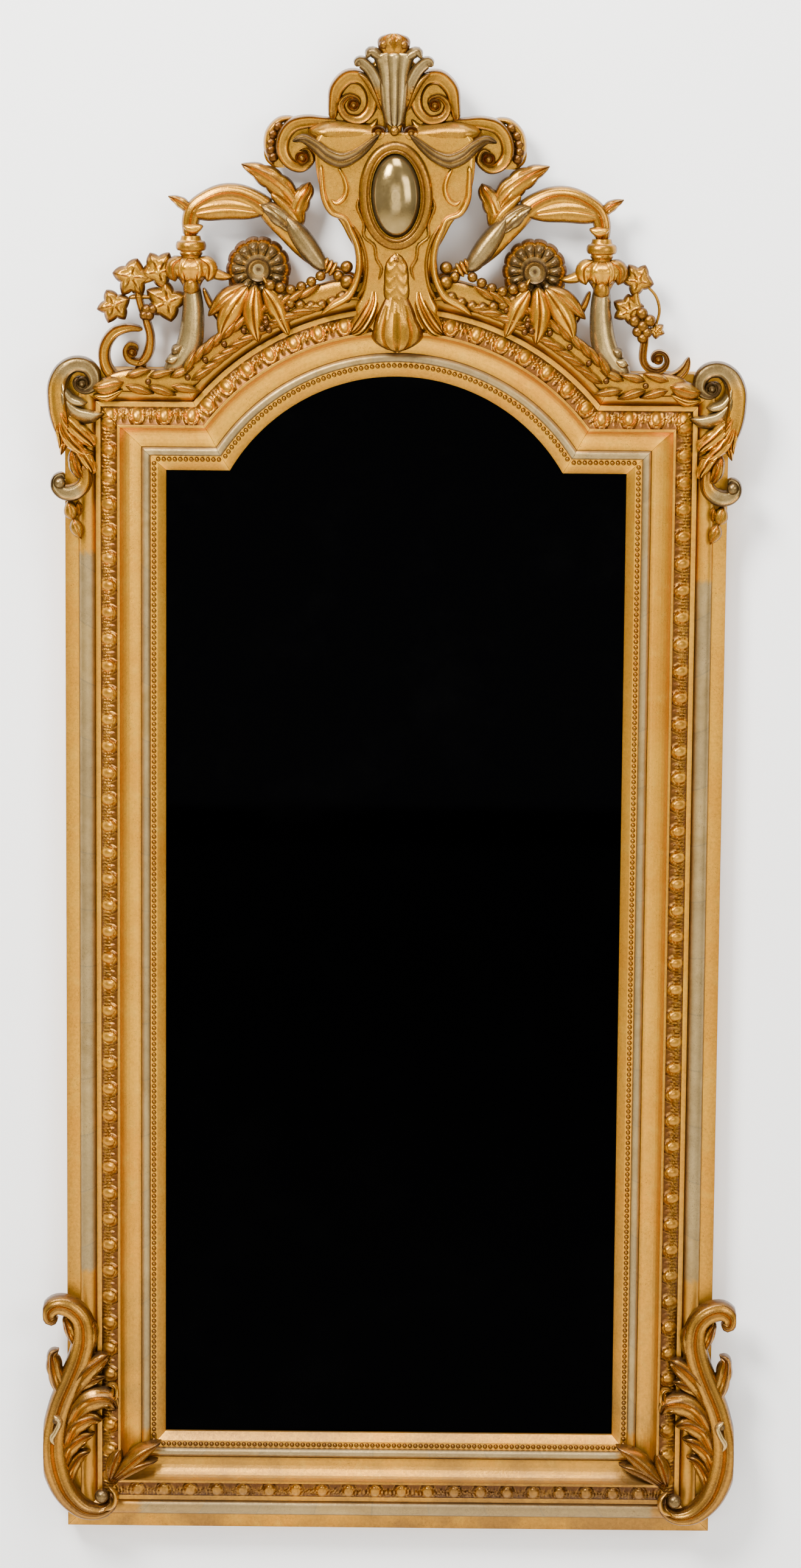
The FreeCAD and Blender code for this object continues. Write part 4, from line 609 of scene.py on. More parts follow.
def shield_shells():
    """Cartouche: the plate, its rolled borders, the ribs of its side panels and the leafy tail."""
    rows = [(619.6, -104, 104), (611, -110, 110), (602, -112, 112), (578, -112, 112),
            (548, -108, 108), (516, -96, 96), (493, -78, 78), (474, -68, 68), (452, -56, 56),
            (430, -50, 50), (408, -48, 48), (388, -52, 52), (372, -58, 58), (352, -46, 46),
            (340, -34, 34), (326, -24, 24), (316, -12, 12), (311, -3, 3)]
    here = crest(1)
    shells = [slab_of(here, rows, 22, 71.5, 5.0)]
    for side in (-1, 1):
        at = crest(side)
        edge = [(104, 574, 8), (103, 551, 9), (100, 526, 10), (90, 508, 10), (71, 499, 9),
                (64, 484, 10), (55, 462, 11), (52, 436, 11), (57, 410, 11), (69, 390, 12),
                (89, 378, 11), (106, 365, 4)]
        inner = [(62, 491, 5), (52, 475, 6), (44, 452, 6), (42, 430, 6), (46, 405, 6), (55, 388, 5)]
        rib = [(80, 571, 5), (72, 556, 7), (69, 541, 8), (74, 527, 8), (84, 521, 7), (91, 526, 3)]
        hem = [(51, 531, 4), (54, 516, 6), (45, 493, 6), (45, 475, 6), (31, 462, 6), (28, 444, 6),
               (21, 430, 6), (25, 414, 4)]
        side_lobe = [(31, 407, 11), (33, 383, 22), (44, 359, 28), (56, 343, 24), (65, 337, 6)]
        toe = [(17, 378, 12), (22, 352, 17), (28, 332, 11), (30, 325, 3)]
        shells += carve(at, (
            (band, edge, 60, 82, "round"),
            (band, inner, 66, 77, "round"),
            (band, rib, 68, 81, "round"),
            (band, hem, 68, 77, "round", 0.3),
            (band, side_lobe, 50, 84, "shell"),
            (band, toe, 50, 80, "shell"),
            (band, [(8, 612, 10), (30, 616, 26), (64, 618, 34), (98, 618, 34), (122, 620, 14)], 24,
             73, "round")))
    centre = [(0, 404, 24), (0, 384, 42), (0, 362, 62), (0, 342, 76), (0, 328, 68), (0, 318, 42),
              (0, 312, 12)]
    shells += carve(here, (
        (band, centre, 60, 87, "shell", 0.1),
        (band, [(0, 452, 10), (0, 438, 30), (0, 412, 36), (0, 388, 34), (0, 376, 12)], 66, 79,
         "scales"),
        (ball, (0, 442), 5.5, 73, 0.0, 16, 6, 0.9)))
    return shells


def oval_ring(half_width, half_height, wide, low, high):
    """Oval ring round the cabochon: a round section carried round an ellipse."""
    turn = np.linspace(0, 2 * np.pi, 96, endpoint=False)[:, None]
    lap = np.linspace(0, 2 * np.pi, 12, endpoint=False)[None, :]
    out = wide / 2 * np.cos(lap)
    reach = OVAL[0] + (half_width + out) * np.cos(turn)
    rise = OVAL[1] + (half_height + out) * np.sin(turn)
    depth = low + (high - low) * (0.5 + 0.5 * np.sin(lap)) * (0.7 + 0.3 / 1.22)
    return tube(set_out(crest(1), reach, rise, depth), closed=True)


def cabochon_shells():
    """Oval cabochon: a smooth dome that stands on the shield."""
    rows = np.linspace(0, np.pi / 2, 15)[:-1, None]
    turn = np.linspace(0, 2 * np.pi, 72, endpoint=False)[None, :]
    reach = OVAL[0] + 35.0 * np.cos(rows) ** 0.8 * np.cos(turn)
    rise = OVAL[1] + 59.0 * np.cos(rows) ** 0.8 * np.sin(turn)
    return [tube(set_out(crest(1), reach, rise, 72 + 24 * np.sin(rows), 0.25), 1.0)]


def palmette_shells():
    """Finial: a silvered lily between two curled lobes, a knobbed bud and a drop."""
    here = crest(1)
    lily = [(0, 628, 24), (0, 650, 34), (0, 675, 40), (0, 700, 44), (0, 716, 52), (0, 727, 58),
            (0, 732, 44)]
    shells = carve(here, (
        (slab_of, [(612, -8, 8), (632, -12, 12), (650, -18, 18), (672, -26, 26), (699, -34, 34),
                   (715, -30, 30), (730, -18, 18)], 62, 68, 4.0),
        (band, lily, 66, 90, "lily", 0.0, 1.0),
        (band, [(0, 724, 30), (0, 738, 44), (0, 750, 44), (0, 757.5, 26)], 68, 90, "shell")))
    for offset in (-14, -5, 5, 14):
        shells.append(ball(here, (offset, 748 - abs(offset) * 0.4), 6.5, 83, 0.0, 14, 6, 0.8))
    for side in (-1, 1):
        at = crest(side)
        lobe = [(7, 640, 10), (16, 664, 15), (24, 690, 18), (35, 709, 19), (48, 718, 17),
                (54, 712, 9)]
        tip = [(12, 716, 9), (23, 728, 16), (33, 732, 15), (38, 723, 7)]
        shells += carve(at, (
            (band, lobe, 60, 85, "right_rim", 0.0, (0.35, 1.2)),
            (band, tip, 66, 87, "round", 0.0, 1.0),
            (band, [(18, 650, 6), (27, 672, 9), (38, 692, 10), (50, 702, 6)], 60, 76, "round"),
            (eye, (23, 619), 10.5, 42, 76)))
        for step in range(5):
            shells.append(ball(at, (13 + 3.2 * step, 648 + 9 * step), 2.6, 72, 0.0, 10, 4))
    shells += carve(here, (
        (ball, (0, 622), 7.0, 76),
        (band, [(0, 616, 4), (0, 632, 12), (0, 646, 9)], 62, 80, "round")))
    return shells


def volute_shells(side):
    """Scroll beside the palmette: a deep concave band that rises from the ear and curls inward."""
    at = crest(side)
    path = [(87, 637, 12), (85, 658, 17), (80, 680, 22), (63, 696, 23), (44, 693, 22),
            (32, 675, 20), (33, 652, 17), (48, 637, 15), (68, 641, 13), (75, 657, 12), (64, 669, 9),
            (51, 665, 8), (49, 655, 5)]
    return carve(at, (
        (slab_of, [(620.4, 12, 94), (634, 10, 88), (650, 12, 88), (668, 16, 88), (684, 22, 82),
                   (698, 34, 72), (705, 46, 62)], 22, 42, 3.0),
        (band, path, 40, 66, "left_rim"),
        (eye, (57, 657), 9, 40, 66),
        (band, [(66, 627, 7), (50, 623, 10), (32, 627, 10), (24, 637, 5)], 40, 56, "round")))


def ear_shells(side):
    """C-scroll at the shield's side with gadroons on its outer edge."""
    at = crest(side)
    path = [(80, 634, 9), (101, 633, 16), (124, 633, 20), (144, 627, 21), (156, 611, 20),
            (158, 590, 19), (148, 574, 17), (132, 569, 15), (119, 580, 12), (124, 593, 10),
            (135, 591, 7)]
    rim = [(142, 638, 7), (161, 634, 11), (175, 619, 13), (179, 601, 13), (177, 586, 11),
           (171, 572, 5)]
    shells = carve(at, (
        (slab_of, [(568, 122, 172), (576, 114, 181), (588, 108, 185), (604, 105, 182),
                   (616, 105, 174), (628, 106, 154)], 26, 40, 3.0),
        (band, path, 38, 63, "right_rim"),
        (eye, (131, 583), 10, 38, 64),
        (band, rim, 28, 50, "round")))
    for reach, rise in ((167, 626), (175, 615), (178, 603), (178, 593), (175, 583)):
        shells.append(ball(at, (reach - 3, rise), 7.8, 45, 0.0, 14, 5, 0.9))
    return shells


def branch_shells(side):
    """Fluted branch from the collar over to the shield, with its silvered leaves and balls."""
    at = crest(side)
    stem = [(ARM, 470, 22), (290, 492, 25), (284, 509, 26), (268, 522, 26), (246, 531, 27),
            (222, 531, 28), (200, 522, 30), (180, 508, 32)]
    inner = [(196, 520, 20), (172, 500, 32), (150, 476, 30), (132, 455, 26), (112, 437, 20),
             (88, 425, 16), (66, 416, 14), (48, 410, 12)]
    upper = [(190, 517, 8), (178, 511, 21), (163, 499, 28), (149, 486, 21), (140, 475, 6)]
    lower = [(156, 502, 10), (142, 482, 25), (129, 464, 30), (116, 446, 28), (105, 432, 20),
             (99, 426, 8)]
    big = [(137, 507, 15), (154, 533, 32), (173, 550, 35), (194, 563, 26), (217, 573, 5)]
    tall = [(136, 484, 15), (140, 507, 30), (133, 526, 30), (124, 540, 20), (121, 548, 5)]
    shells = carve(at, (
        (band, stem, 34, 57, "flute"),
        (band, inner, 34, 56, "round"),
        (band, upper, 46, 66, "leaf", 0.12, 1.0),
        (band, lower, 46, 72, "round", 0.0, 1.0),
        (band, big, 36, 56, "leaf", 0.16, 0.0, 3.0),
        (band, tall, 36, 55, "leaf", 0.16),
        (band, [(175, 532, 10), (149, 505, 18), (134, 484, 10)], 40, 58, "round"),
        (band, [(288, 504, 10), (303, 518, 17), (321, 527, 4)], 38, 52, "leaf", 0.1),
        (band, [(294, 500, 10), (272, 507, 30), (240, 511, 34), (206, 508, 26), (184, 504, 8)], 38,
         58, "laurel"),
        (band, [(300, 486, 6), (286, 482, 15), (272, 486, 6)], 48, 61, "round")))
    for index in range(3):
        reach, rise = 101 - 6 * index, 433 - 3 * index
        shells.append(band(at, [(reach - 5, rise + 10, 6), (reach, rise, 8),
                                (reach + 6, rise - 9, 6)], 44, 64, "round"))
    for centre, radius, depth in (((70, 431), 9, 60), ((69, 410), 11, 60), ((82, 418), 8, 56)):
        shells.append(ball(at, centre, radius, depth))
    return shells


def small_shells(side):
    """Collar, calyx, horn, strap, drape and festoons of one side, by node name."""
    at = crest(side)
    collar = [turned(at, [(13.5, 472), (14.4, 468), (15.5, 465.5), (19.6, 464), (21.4, 460),
                          (21.6, 456), (20, 452), (15.6, 450.2), (16.4, 447), (14.4, 444),
                          (13.8, 441.4)])]
    calyx = carve(at, (
        (turned, [(14, 441), (22, 438), (28, 432), (29, 426), (24, 417), (17, 409), (13, 402),
                  (11, 396)], 10),
        (band, [(274, 434, 16), (258, 420, 17), (244, 415, 13), (232, 414, 5)], 40, 56, "round")))
    for offset in (-25, -9, 9, 25):
        petal = [(ARM + offset * 0.5, 441, 14), (ARM + offset, 430, 23), (ARM + offset, 417, 20),
                 (ARM + offset * 0.9, 408, 7)]
        calyx.append(band(at, petal, 46, 78 - abs(offset) * 0.5, "laurel"))
    calyx.append(band(at, [(ARM, 412, 20), (ARM, 400, 24), (ARM, 391, 20)], 46, 68, "round"))
    horn = [band(at, [(ARM, 405, 22), (289, 388, 27), (288, 370, 30), (289, 350, 33),
                      (291, 331, 35), (296, 313, 36), (306, 298, 34), (319, 286, 25),
                      (330, 278, 8)], 34, 63, "round", 0.0, 1.0)]
    for path in (
            [(303, 319, 5), (313, 311, 15), (319, 306, 4)],
            [(305, 303, 5), (319, 297, 16), (328, 295, 4)]):
        horn.append(band(at, path, 44, 66, "round", 0.0, 1.0))
    horn.append(band(at, [(273, 398, 6), (265, 378, 10), (254, 359, 10), (242, 342, 8)], 34, 51,
                     "channel"))
    drape = [band(at, [(143, 607, 5), (129, 611, 13), (112, 602, 17), (95, 588, 21), (76, 581, 23),
                       (56, 588, 18), (38, 602, 13), (22, 617, 6)], 72, 90, "cloth", 0.0, 1.0)]
    upper = ((178, 404, 8.5), (164, 401, 8), (149, 398, 8), (134, 403, 7.5), (120, 410, 7.5),
             (107, 418, 7.5))
    lower = ((164, 386, 7.5), (150, 379, 8), (136, 376, 8.5), (121, 375, 8.5), (106, 377, 8.5),
             (91, 382, 8.5), (77, 389, 9))
    beads = []
    for string in (upper, lower):
        for reach, rise, radius in string:
            beads.append(ball(at, (reach, rise), radius, 62, 0.0, 16, 7))
        beads.append(band(at, [(reach, rise, 4.5) for reach, rise, radius in string], 57, 63,
                          "round"))
    beads += carve(at, (
        (band, [(77, 389, 6), (64, 388, 6), (48, 386, 6)], 58, 65, "round"),
        (band, [(188, 416, 6), (180, 402, 6), (164, 386, 6)], 52, 66, "round")))
    return {"collars": collar, "calyxes": calyx, "horns": horn, "drapes": drape,
            "bead_festoons": beads}


def rosette_shells(side):
    """Rosette: a polar grid whose height is a beaded plate, a ring of petals and a hollow boss; the
    petals and the boss are silvered."""
    at = crest(side)
    radius = np.array([0.6, 4, 8, 10.5, 12, 14, 16, 18, 19.5, 21, 24, 28, 32, 35, 37.5, 39, 40.5,
                       42.5, 44.5, 46, 46])[:, None]
    turn = np.linspace(0, 2 * np.pi, 168, endpoint=False)[None, :]
    petals = np.abs(np.cos(7 * turn)) ** 0.5
    level = np.interp(radius, [0, 8, 11, 13, 16, 19, 21, 40, 42.5, 46],
                      [44, 45, 50, 54, 56, 52, 40, 39, 42, 38])
    petal_share = np.clip(np.minimum((radius - 19) / 7, (39.5 - radius) / 6), 0, 1) ** 0.7
    level = level + 10.5 * petal_share * petals
    beads = np.clip(1 - np.abs(radius - 43) / 3, 0, 1) * np.abs(np.sin(21 * turn))
    level = level + 2.2 * beads
    level[-1] = 22.0
    shrink = 1 - 0.06 * np.clip((radius - 30) / 10, 0, 1) * (1 - petals)
    reach = ROSETTE[0] + radius * shrink * np.cos(turn)
    rise = ROSETTE[1] + radius * shrink * np.sin(turn)
    silver = (np.clip((39 - radius) / 2, 0, 1) + 0 * turn).reshape(-1)
    rows = [(410, 152, 238), (390, 156, 236), (370, 160, 234), (350, 166, 232), (334, 205, 230)]
    return [tube(set_out(at, reach, rise, level), silver), slab_of(at, rows, 22, 39.5, 2.0)]


def garland_shells(side):
    """Laurel garland on its rail over arch and shoulder, with the leaves below the rosette."""
    at = crest(side)
    start, joint = math.radians(81), math.asin((TOP - ARCH + 3) / (ARCH_OUT + 3.6))
    middle = ARCH_OUT - 15.0
    rise = TOP - ARCH - 15.0
    turn = np.linspace(start, joint, 30)
    rail = [(middle * math.cos(a), middle * math.sin(a), 34) for a in turn]
    rail += [(318, rise, 34), (350, rise, 34), (384, rise, 32), (414, rise - 4, 22)]
    bud = [(432, 258, 6), (418, 258, 22), (402, 262, 24), (386, 266, 10)]
    shells = carve(at, (
        (band, rail, SEAT, 61, "round"),
        (band, bud, SEAT, 74, "laurel"),
        (band, [(430, 246, 5), (410, 244, 14), (388, 254, 5)], SEAT, 70, "laurel")))
    way = curve_through([(point[0], point[1]) for point in rail[6:]][::-1], 200)
    count = 15
    for index in range(count):
        place = 12 + int(172 * index / (count - 1))
        ahead = way[min(place + 4, 199)] - way[place]
        heading = math.atan2(ahead[1], ahead[0])
        for row, tilt, size in ((1, 0.3, 1.0), (-1, -0.26, 0.9)):
            angle = heading + tilt
            base = way[place] + 6.5 * row * np.array([-math.sin(heading), math.cos(heading)])
            dx, dz = math.cos(angle) * size, math.sin(angle) * size
            leaf = [(base[0] + far * dx, base[1] + far * dz, wide)
                    for far, wide in ((0, 4), (12, 13), (26, 12), (42, 3))]
            high = 70 + 2 * (index % 2) + row
            shells.append(band(at, leaf, 56, high, "laurel", 0.0, 0.0, 0.0, index))
        if index % 2:
            shells.append(ball(at, (way[place][0], way[place][1]), 4.6, 66, 0.0, 12, 5))
    fan = (
        ([(210, 402, 14), (228, 376, 32), (242, 352, 26), (250, 330, 6)], 76),
        ([(199, 404, 14), (202, 372, 32), (200, 346, 27), (196, 324, 6)], 80),
        ([(187, 400, 13), (172, 376, 30), (162, 354, 23), (153, 334, 6)], 76),
        ([(214, 404, 10), (240, 386, 26), (266, 360, 6)], 70))
    for path, high in fan:
        shells.append(band(at, path, SEAT, high, "laurel"))
    for reach, height in ((184, 352), (190, 344), (180, 342)):
        shells.append(ball(at, (reach, height), 5.0, 74, 0.0, 12, 5))
    return shells


def vine_left_shells():
    """Ivy spray from the calyx down to the end scroll on the left shoulder."""
    at = crest(-1)
    shells = []
    for centre, length, turn in (
            ((375, 414), 32, 150),
            ((336, 421), 31, 30),
            ((324, 378), 34, -60),
            ((399, 374), 28, 200)):
        shells.append(star_leaf(at, centre, length, turn, 38, 54))
    shells += carve(at, (
        (band, [(312, 424, 10), (330, 420, 13), (352, 412, 15), (372, 404, 10)], 38, 50, "round"),
        (band, [(367, 410, 7), (365, 388, 11), (361, 370, 11), (354, 351, 12), (349, 329, 13),
                (352, 307, 15), (363, 293, 12), (379, 296, 11), (385, 308, 9), (379, 318, 8),
                (369, 316, 7), (368, 306, 4)], 36, 57, "channel"),
        (band, [(380, 383, 5), (369, 385, 8), (343, 384, 5)], 38, 48, "round")))
    for centre in ((354, 368), (345, 368), (350, 359), (357, 360)):
        shells.append(ball(at, centre, 7.5, 49, 0.0, 16, 6))
    outer = [(360, 339, 8), (379, 341, 13), (400, 334, 17), (413, 315, 18), (414, 294, 18),
             (404, 275, 18), (382, 264, 16), (355, 260, 11), (334, 262, 4)]
    shells += carve(at, (
        (band, outer, 36, 57, "channel"),
        (band, [(371, 284, 4), (363, 291, 11), (355, 285, 5)], 36, 50, "round"),
        (eye, (375, 307), 8, 36, 60)))
    return shells


def vine_right_shells():
    """Broken spray on the right: a leaf, the grapes, a hanging scroll and a stub."""
    at = crest(1)
    shells = carve(at, (
        (star_leaf, (341, 413), 27, 30, 38, 53),
        (star_leaf, (329, 371), 26, 60, 38, 52),
        (band, [(312, 423, 8), (326, 418, 10), (340, 412, 9)], 38, 47, "round"),
        (band, [(337, 412, 9), (338, 385, 12), (346, 362, 13), (351, 338, 12)], 38, 49, "round")))
    for reach, rise, radius in ((346, 368, 9), (357, 358, 9), (336, 357, 9), (347, 350, 9),
                                (340, 342, 8), (353, 341, 8), (347, 333, 8)):
        shells.append(ball(at, (reach, rise), radius, 49, 0.0, 16, 7))
    shells += carve(at, (
        (band, [(352, 408, 4), (366, 392, 4.5), (371, 372, 4.5), (366, 350, 4)], 42, 47, "round"),
        (star_leaf, (366, 343), 14, -50, 40, 51),
        (band, [(352, 346, 10), (350, 326, 12)] + spiral((369, 303), 22, 7, 165, 420, 12, 22), 38,
         57, "channel"),
        (eye, (369, 303), 7.5, 38, 58),
        (band, [(413, 306, 6), (408, 291, 14), (396, 279, 17), (382, 276, 16), (370, 281, 8)], 34,
         56, "channel")))
    return shells


# ---------------------------------------------------------------- corners


def upper_corner_shells(side):
    """Silvered scroll on the upper corner, its acanthus, the ball scroll and the husks."""
    at = corner(side, TOP)
    body = [(11, -112, 9), (0, -89, 22), (-5, -66, 30), (-8, -43, 31), (-8, -21, 30), (0, -2, 27),
            (15, 8, 24), (32, 6, 23), (42, -5, 21), (43, -20, 17), (32, -29, 12), (20, -25, 10),
            (17, -16, 9), (24, -9, 5)]
    shells = carve(at, (
        (band, body, SEAT, 78, "left_rim", 0.0, (0.36, 1.2)),
        (eye, (27, -18), 9, SEAT, 80, 1.0),
        (band, [(-2, -16, 5), (2, -29, 12), (11, -41, 15), (26, -46, 12), (34, -46, 3)], SEAT, 76,
         "round", 0.0, 1.0),
        (band, [(-5, -30, 9), (2, -48, 19), (18, -62, 22), (37, -66, 20), (56, -62, 5)], SEAT, 80,
         "lip", 0.0, 1.0)))
    leaves = (
        ([(-4, -56, 9), (7, -73, 22), (24, -89, 25), (39, -102, 20), (44, -109, 5)], 76, 0.16),
        ([(-6, -69, 9), (4, -92, 22), (17, -107, 22), (31, -117, 15), (42, -116, 3)], 74, 0.16),
        ([(-8, -66, 5), (-6, -86, 14), (-4, -102, 11), (-6, -112, 3)], 70, 0.16),
        ([(1, -99, 5), (-1, -109, 10), (-4, -121, 3)], 68, 0.0),
        ([(14, -105, 10), (26, -118, 20), (35, -131, 20), (41, -143, 12), (39, -148, 3)], 72, 0.16),
        ([(11, -112, 5), (14, -128, 18), (19, -143, 18), (27, -154, 9)], 70, 0.1))
    for path, high, lobes in leaves:
        shells.append(band(at, path, SEAT, high, "leaf", lobes))
    scroll = [(29, -131, 8), (31, -148, 18), (28, -163, 22), (16, -173, 25), (0, -174, 22),
              (-10, -165, 19), (-10, -154, 14), (-3, -150, 10), (1, -156, 5)]
    shells += carve(at, (
        (band, scroll, SEAT, 74, "right_rim", 0.0, (0.3, 1.2)),
        (ball, (-6, -160), 9, 62, 1.0)))
    for path in (
            [(7, -185, 5), (9, -195, 18), (11, -205, 20), (14, -214, 4)],
            [(19, -187, 4), (22, -197, 11), (21, -209, 4)],
            [(14, -210, 4), (17, -222, 19), (21, -232, 16), (25, -241, 3)]):
        shells.append(band(at, path, SEAT, 66, "laurel"))
    return shells


def lower_corner_shells(side):
    """Large acanthus scroll on the lower corner, curled over at its top."""
    at = corner(side, 0.0)
    stem = [(65, 57, 9), (68, 42, 14), (54, 29, 19), (27, 31, 28), (1, 54, 35), (-14, 88, 40),
            (-20, 125, 40), (-16, 160, 36), (-7, 194, 36), (7, 228, 36), (20, 263, 36),
            (26, 293, 35), (22, 321, 32), (5, 338, 32), (-14, 341, 30), (-25, 331, 26),
            (-22, 319, 20), (-13, 323, 12)]
    shells = carve(at, (
        (band, stem, SEAT, 79, "flute"),
        (ball, (52, 54), 11, 66, 1.0),
        (band, [(62, 69, 5), (72, 57, 9), (69, 41, 10), (55, 33, 8)], SEAT, 76, "round")))
    leaves = (
        ([(4, 160, 18), (21, 188, 34), (46, 202, 39), (67, 199, 28), (74, 185, 8)], 80, 0.14),
        ([(2, 189, 15), (16, 222, 32), (37, 248, 32), (56, 263, 19), (62, 267, 5)], 77, 0.16),
        ([(6, 208, 11), (24, 222, 22), (45, 231, 16), (57, 234, 4)], 74, 0.1),
        ([(-1, 128, 15), (13, 158, 30), (36, 171, 26), (52, 168, 9)], 76, 0.14),
        ([(-6, 92, 14), (5, 124, 26), (24, 141, 22), (41, 147, 5)], 74, 0.14),
        ([(1, 59, 10), (8, 91, 19), (22, 114, 16), (35, 120, 4)], 72, 0.1),
        ([(-3, 194, 14), (-12, 225, 25), (-18, 250, 25), (-19, 268, 16), (-11, 274, 5)], 75, 0.14),
        ([(23, 250, 10), (33, 281, 22), (39, 305, 16), (38, 319, 4)], 74, 0.12),
        ([(13, 281, 10), (5, 305, 18), (-3, 325, 8)], 74, 0.0),
        ([(59, 195, 9), (71, 207, 15), (70, 222, 11), (59, 223, 4)], 78, 0.0))
    for index, (path, high, lobes) in enumerate(leaves):
        shells.append(band(at, path, SEAT, high, "leaf", lobes, 0.0, 1.0, index))
    shells += carve(at, (
        (band, [(-17, 179, 8), (-9, 170, 10), (-14, 155, 10), (-20, 144, 10), (-16, 133, 5)], 66,
         84, "round", 0.0, 1.0),
        (ball, (-14, 170), 5.5, 76, 1.0, 14, 6)))
    return shells


def spray_shells(side):
    """Three leaves across the lower mitre."""
    at = corner(side, 0.0)
    return carve(at, (
        (band, [(62, 76, 7), (68, 99, 22), (75, 118, 18), (80, 128, 4)], SEAT, 80, "laurel"),
        (band, [(68, 80, 8), (91, 102, 24), (114, 122, 22), (139, 136, 4)], SEAT, 82, "laurel"),
        (band, [(72, 77, 8), (92, 93, 19), (114, 103, 16), (134, 108, 3)], SEAT, 80, "laurel")))


# ---------------------------------------------------------------- materials


# Colours under and over the leaf: a hollow, which is partly patina and partly painted shade, and
# the tints of gold and silver are multiples of the leaf's own colour, the others stand by
# themselves.
HOLLOW, SPOT, DUST = (0.15, 0.105, 0.06), (0.080, 0.036, 0.012), (0.20, 0.14, 0.075)
BOLE, GESSO = (0.50, 0.25, 0.06), (0.80, 0.66, 0.42)
RED_GOLD, PALE_GOLD, LOW_GOLD = (0.90, 0.80, 0.62), (1.04, 1.14, 1.6), (0.30, 0.14, 0.035)
DULL_SILVER, BRIGHT_SILVER, LOW_SILVER = (0.74, 0.70, 0.62), (1.22, 1.24, 1.4), (0.36, 0.23, 0.085)
LAP_LINE, LAP_TONE = (0.20, 0.16, 0.10), (0.34, 0.26, 0.14)
# Length of a sheet of leaf along a strip, in metres.
LAP_STEP = 0.083
BARE_PINE_SPOT = (0.10, 0.065, 0.035)
IRON, RUST = (0.045, 0.042, 0.040), (0.20, 0.075, 0.025)
# Front of the mirror plate: near-black colours, clear and clouded, that paint the reflection of a
# dim room; the grey back is its own paint.
GLASS_DARK_REFLECTION, GLASS_CLOUDED_DARK_REFLECTION, GLASS_BACK = (
    (0.0006, 0.0006, 0.0007), (0.0016, 0.0016, 0.0016), (0.20, 0.19, 0.18))


def group_of(name, inputs, outputs):
    """Shader node group with float or colour inputs (name, kind, default) and outputs."""
    group = bpy.data.node_groups.new(name, "ShaderNodeTree")
    for label, kind, default in inputs:
        socket = group.interface.new_socket(name=label, in_out="INPUT", socket_type=kind)
        socket.default_value = default
    for label, kind in outputs:
        group.interface.new_socket(name=label, in_out="OUTPUT", socket_type=kind)
    source = group.nodes.new("NodeGroupInput")
    sink = group.nodes.new("NodeGroupOutput")
    return group, source, sink


def add(tree, kind, links=(), **settings):
    """New node with settings and links; a link is (socket name or index, source)."""
    node = tree.nodes.new(kind)
    for key, value in settings.items():
        setattr(node, key, value)
    for socket, origin in links:
        tree.links.new(origin, node.inputs[socket])
    return node


def noise(tree, scale, detail=4.0, rough=0.55, distort=0.0):
    """Value of a noise in object space: scale is in waves per metre."""
    place = add(tree, "ShaderNodeTexCoord")
    node = add(tree, "ShaderNodeTexNoise", [("Vector", place.outputs["Object"])])
    node.inputs["Scale"].default_value = scale
    node.inputs["Detail"].default_value = detail
    node.inputs["Roughness"].default_value = rough
    node.inputs["Distortion"].default_value = distort
    return node.outputs["Fac"]


def ramp(tree, value, low, high, out_low=0.0, out_high=1.0):
    """Value mapped from low..high to a clamped range."""
    node = add(tree, "ShaderNodeMapRange", [(0, value)], clamp=True)
    for index, number in enumerate((low, high, out_low, out_high), start=1):
        node.inputs[index].default_value = number
    return node.outputs[0]


def mix(tree, share, first, second, mode="MIX"):
    """Colour mix: first and second are sockets or colours, share is a socket or a number."""
    node = add(tree, "ShaderNodeMix", data_type="RGBA", blend_type=mode)
    for index, value in ((0, share), (6, first), (7, second)):
        if hasattr(value, "is_linked"):
            tree.links.new(value, node.inputs[index])
        else:
            node.inputs[index].default_value = value if index == 0 else (*value, 1.0)
    return node.outputs[2]


def maths(tree, operation, first, second=0.0, clamp=False):
    """Maths node on sockets or numbers."""
    node = add(tree, "ShaderNodeMath", operation=operation, use_clamp=clamp)
    for index, value in ((0, first), (1, second)):
        if hasattr(value, "is_linked"):
            tree.links.new(value, node.inputs[index])
        else:
            node.inputs[index].default_value = value
    return node.outputs[0]


def times(tree, first, second, clamp=False):
    """Product of sockets or numbers."""
    return maths(tree, "MULTIPLY", first, second, clamp)


def tinted(tree, colour, tint):
    """A colour multiplied by a tint."""
    return mix(tree, 1.0, colour, tint, "MULTIPLY")


def attribute(tree, name):
    """Value of a mesh attribute."""
    return add(tree, "ShaderNodeAttribute", attribute_name=name).outputs["Fac"]


def facing(tree, axis):
    """How far a surface faces along an axis (1 back, 2 up), from its own normal."""
    normal = add(tree, "ShaderNodeNewGeometry").outputs["Normal"]
    return add(tree, "ShaderNodeSeparateXYZ", [(0, normal)]).outputs[axis]


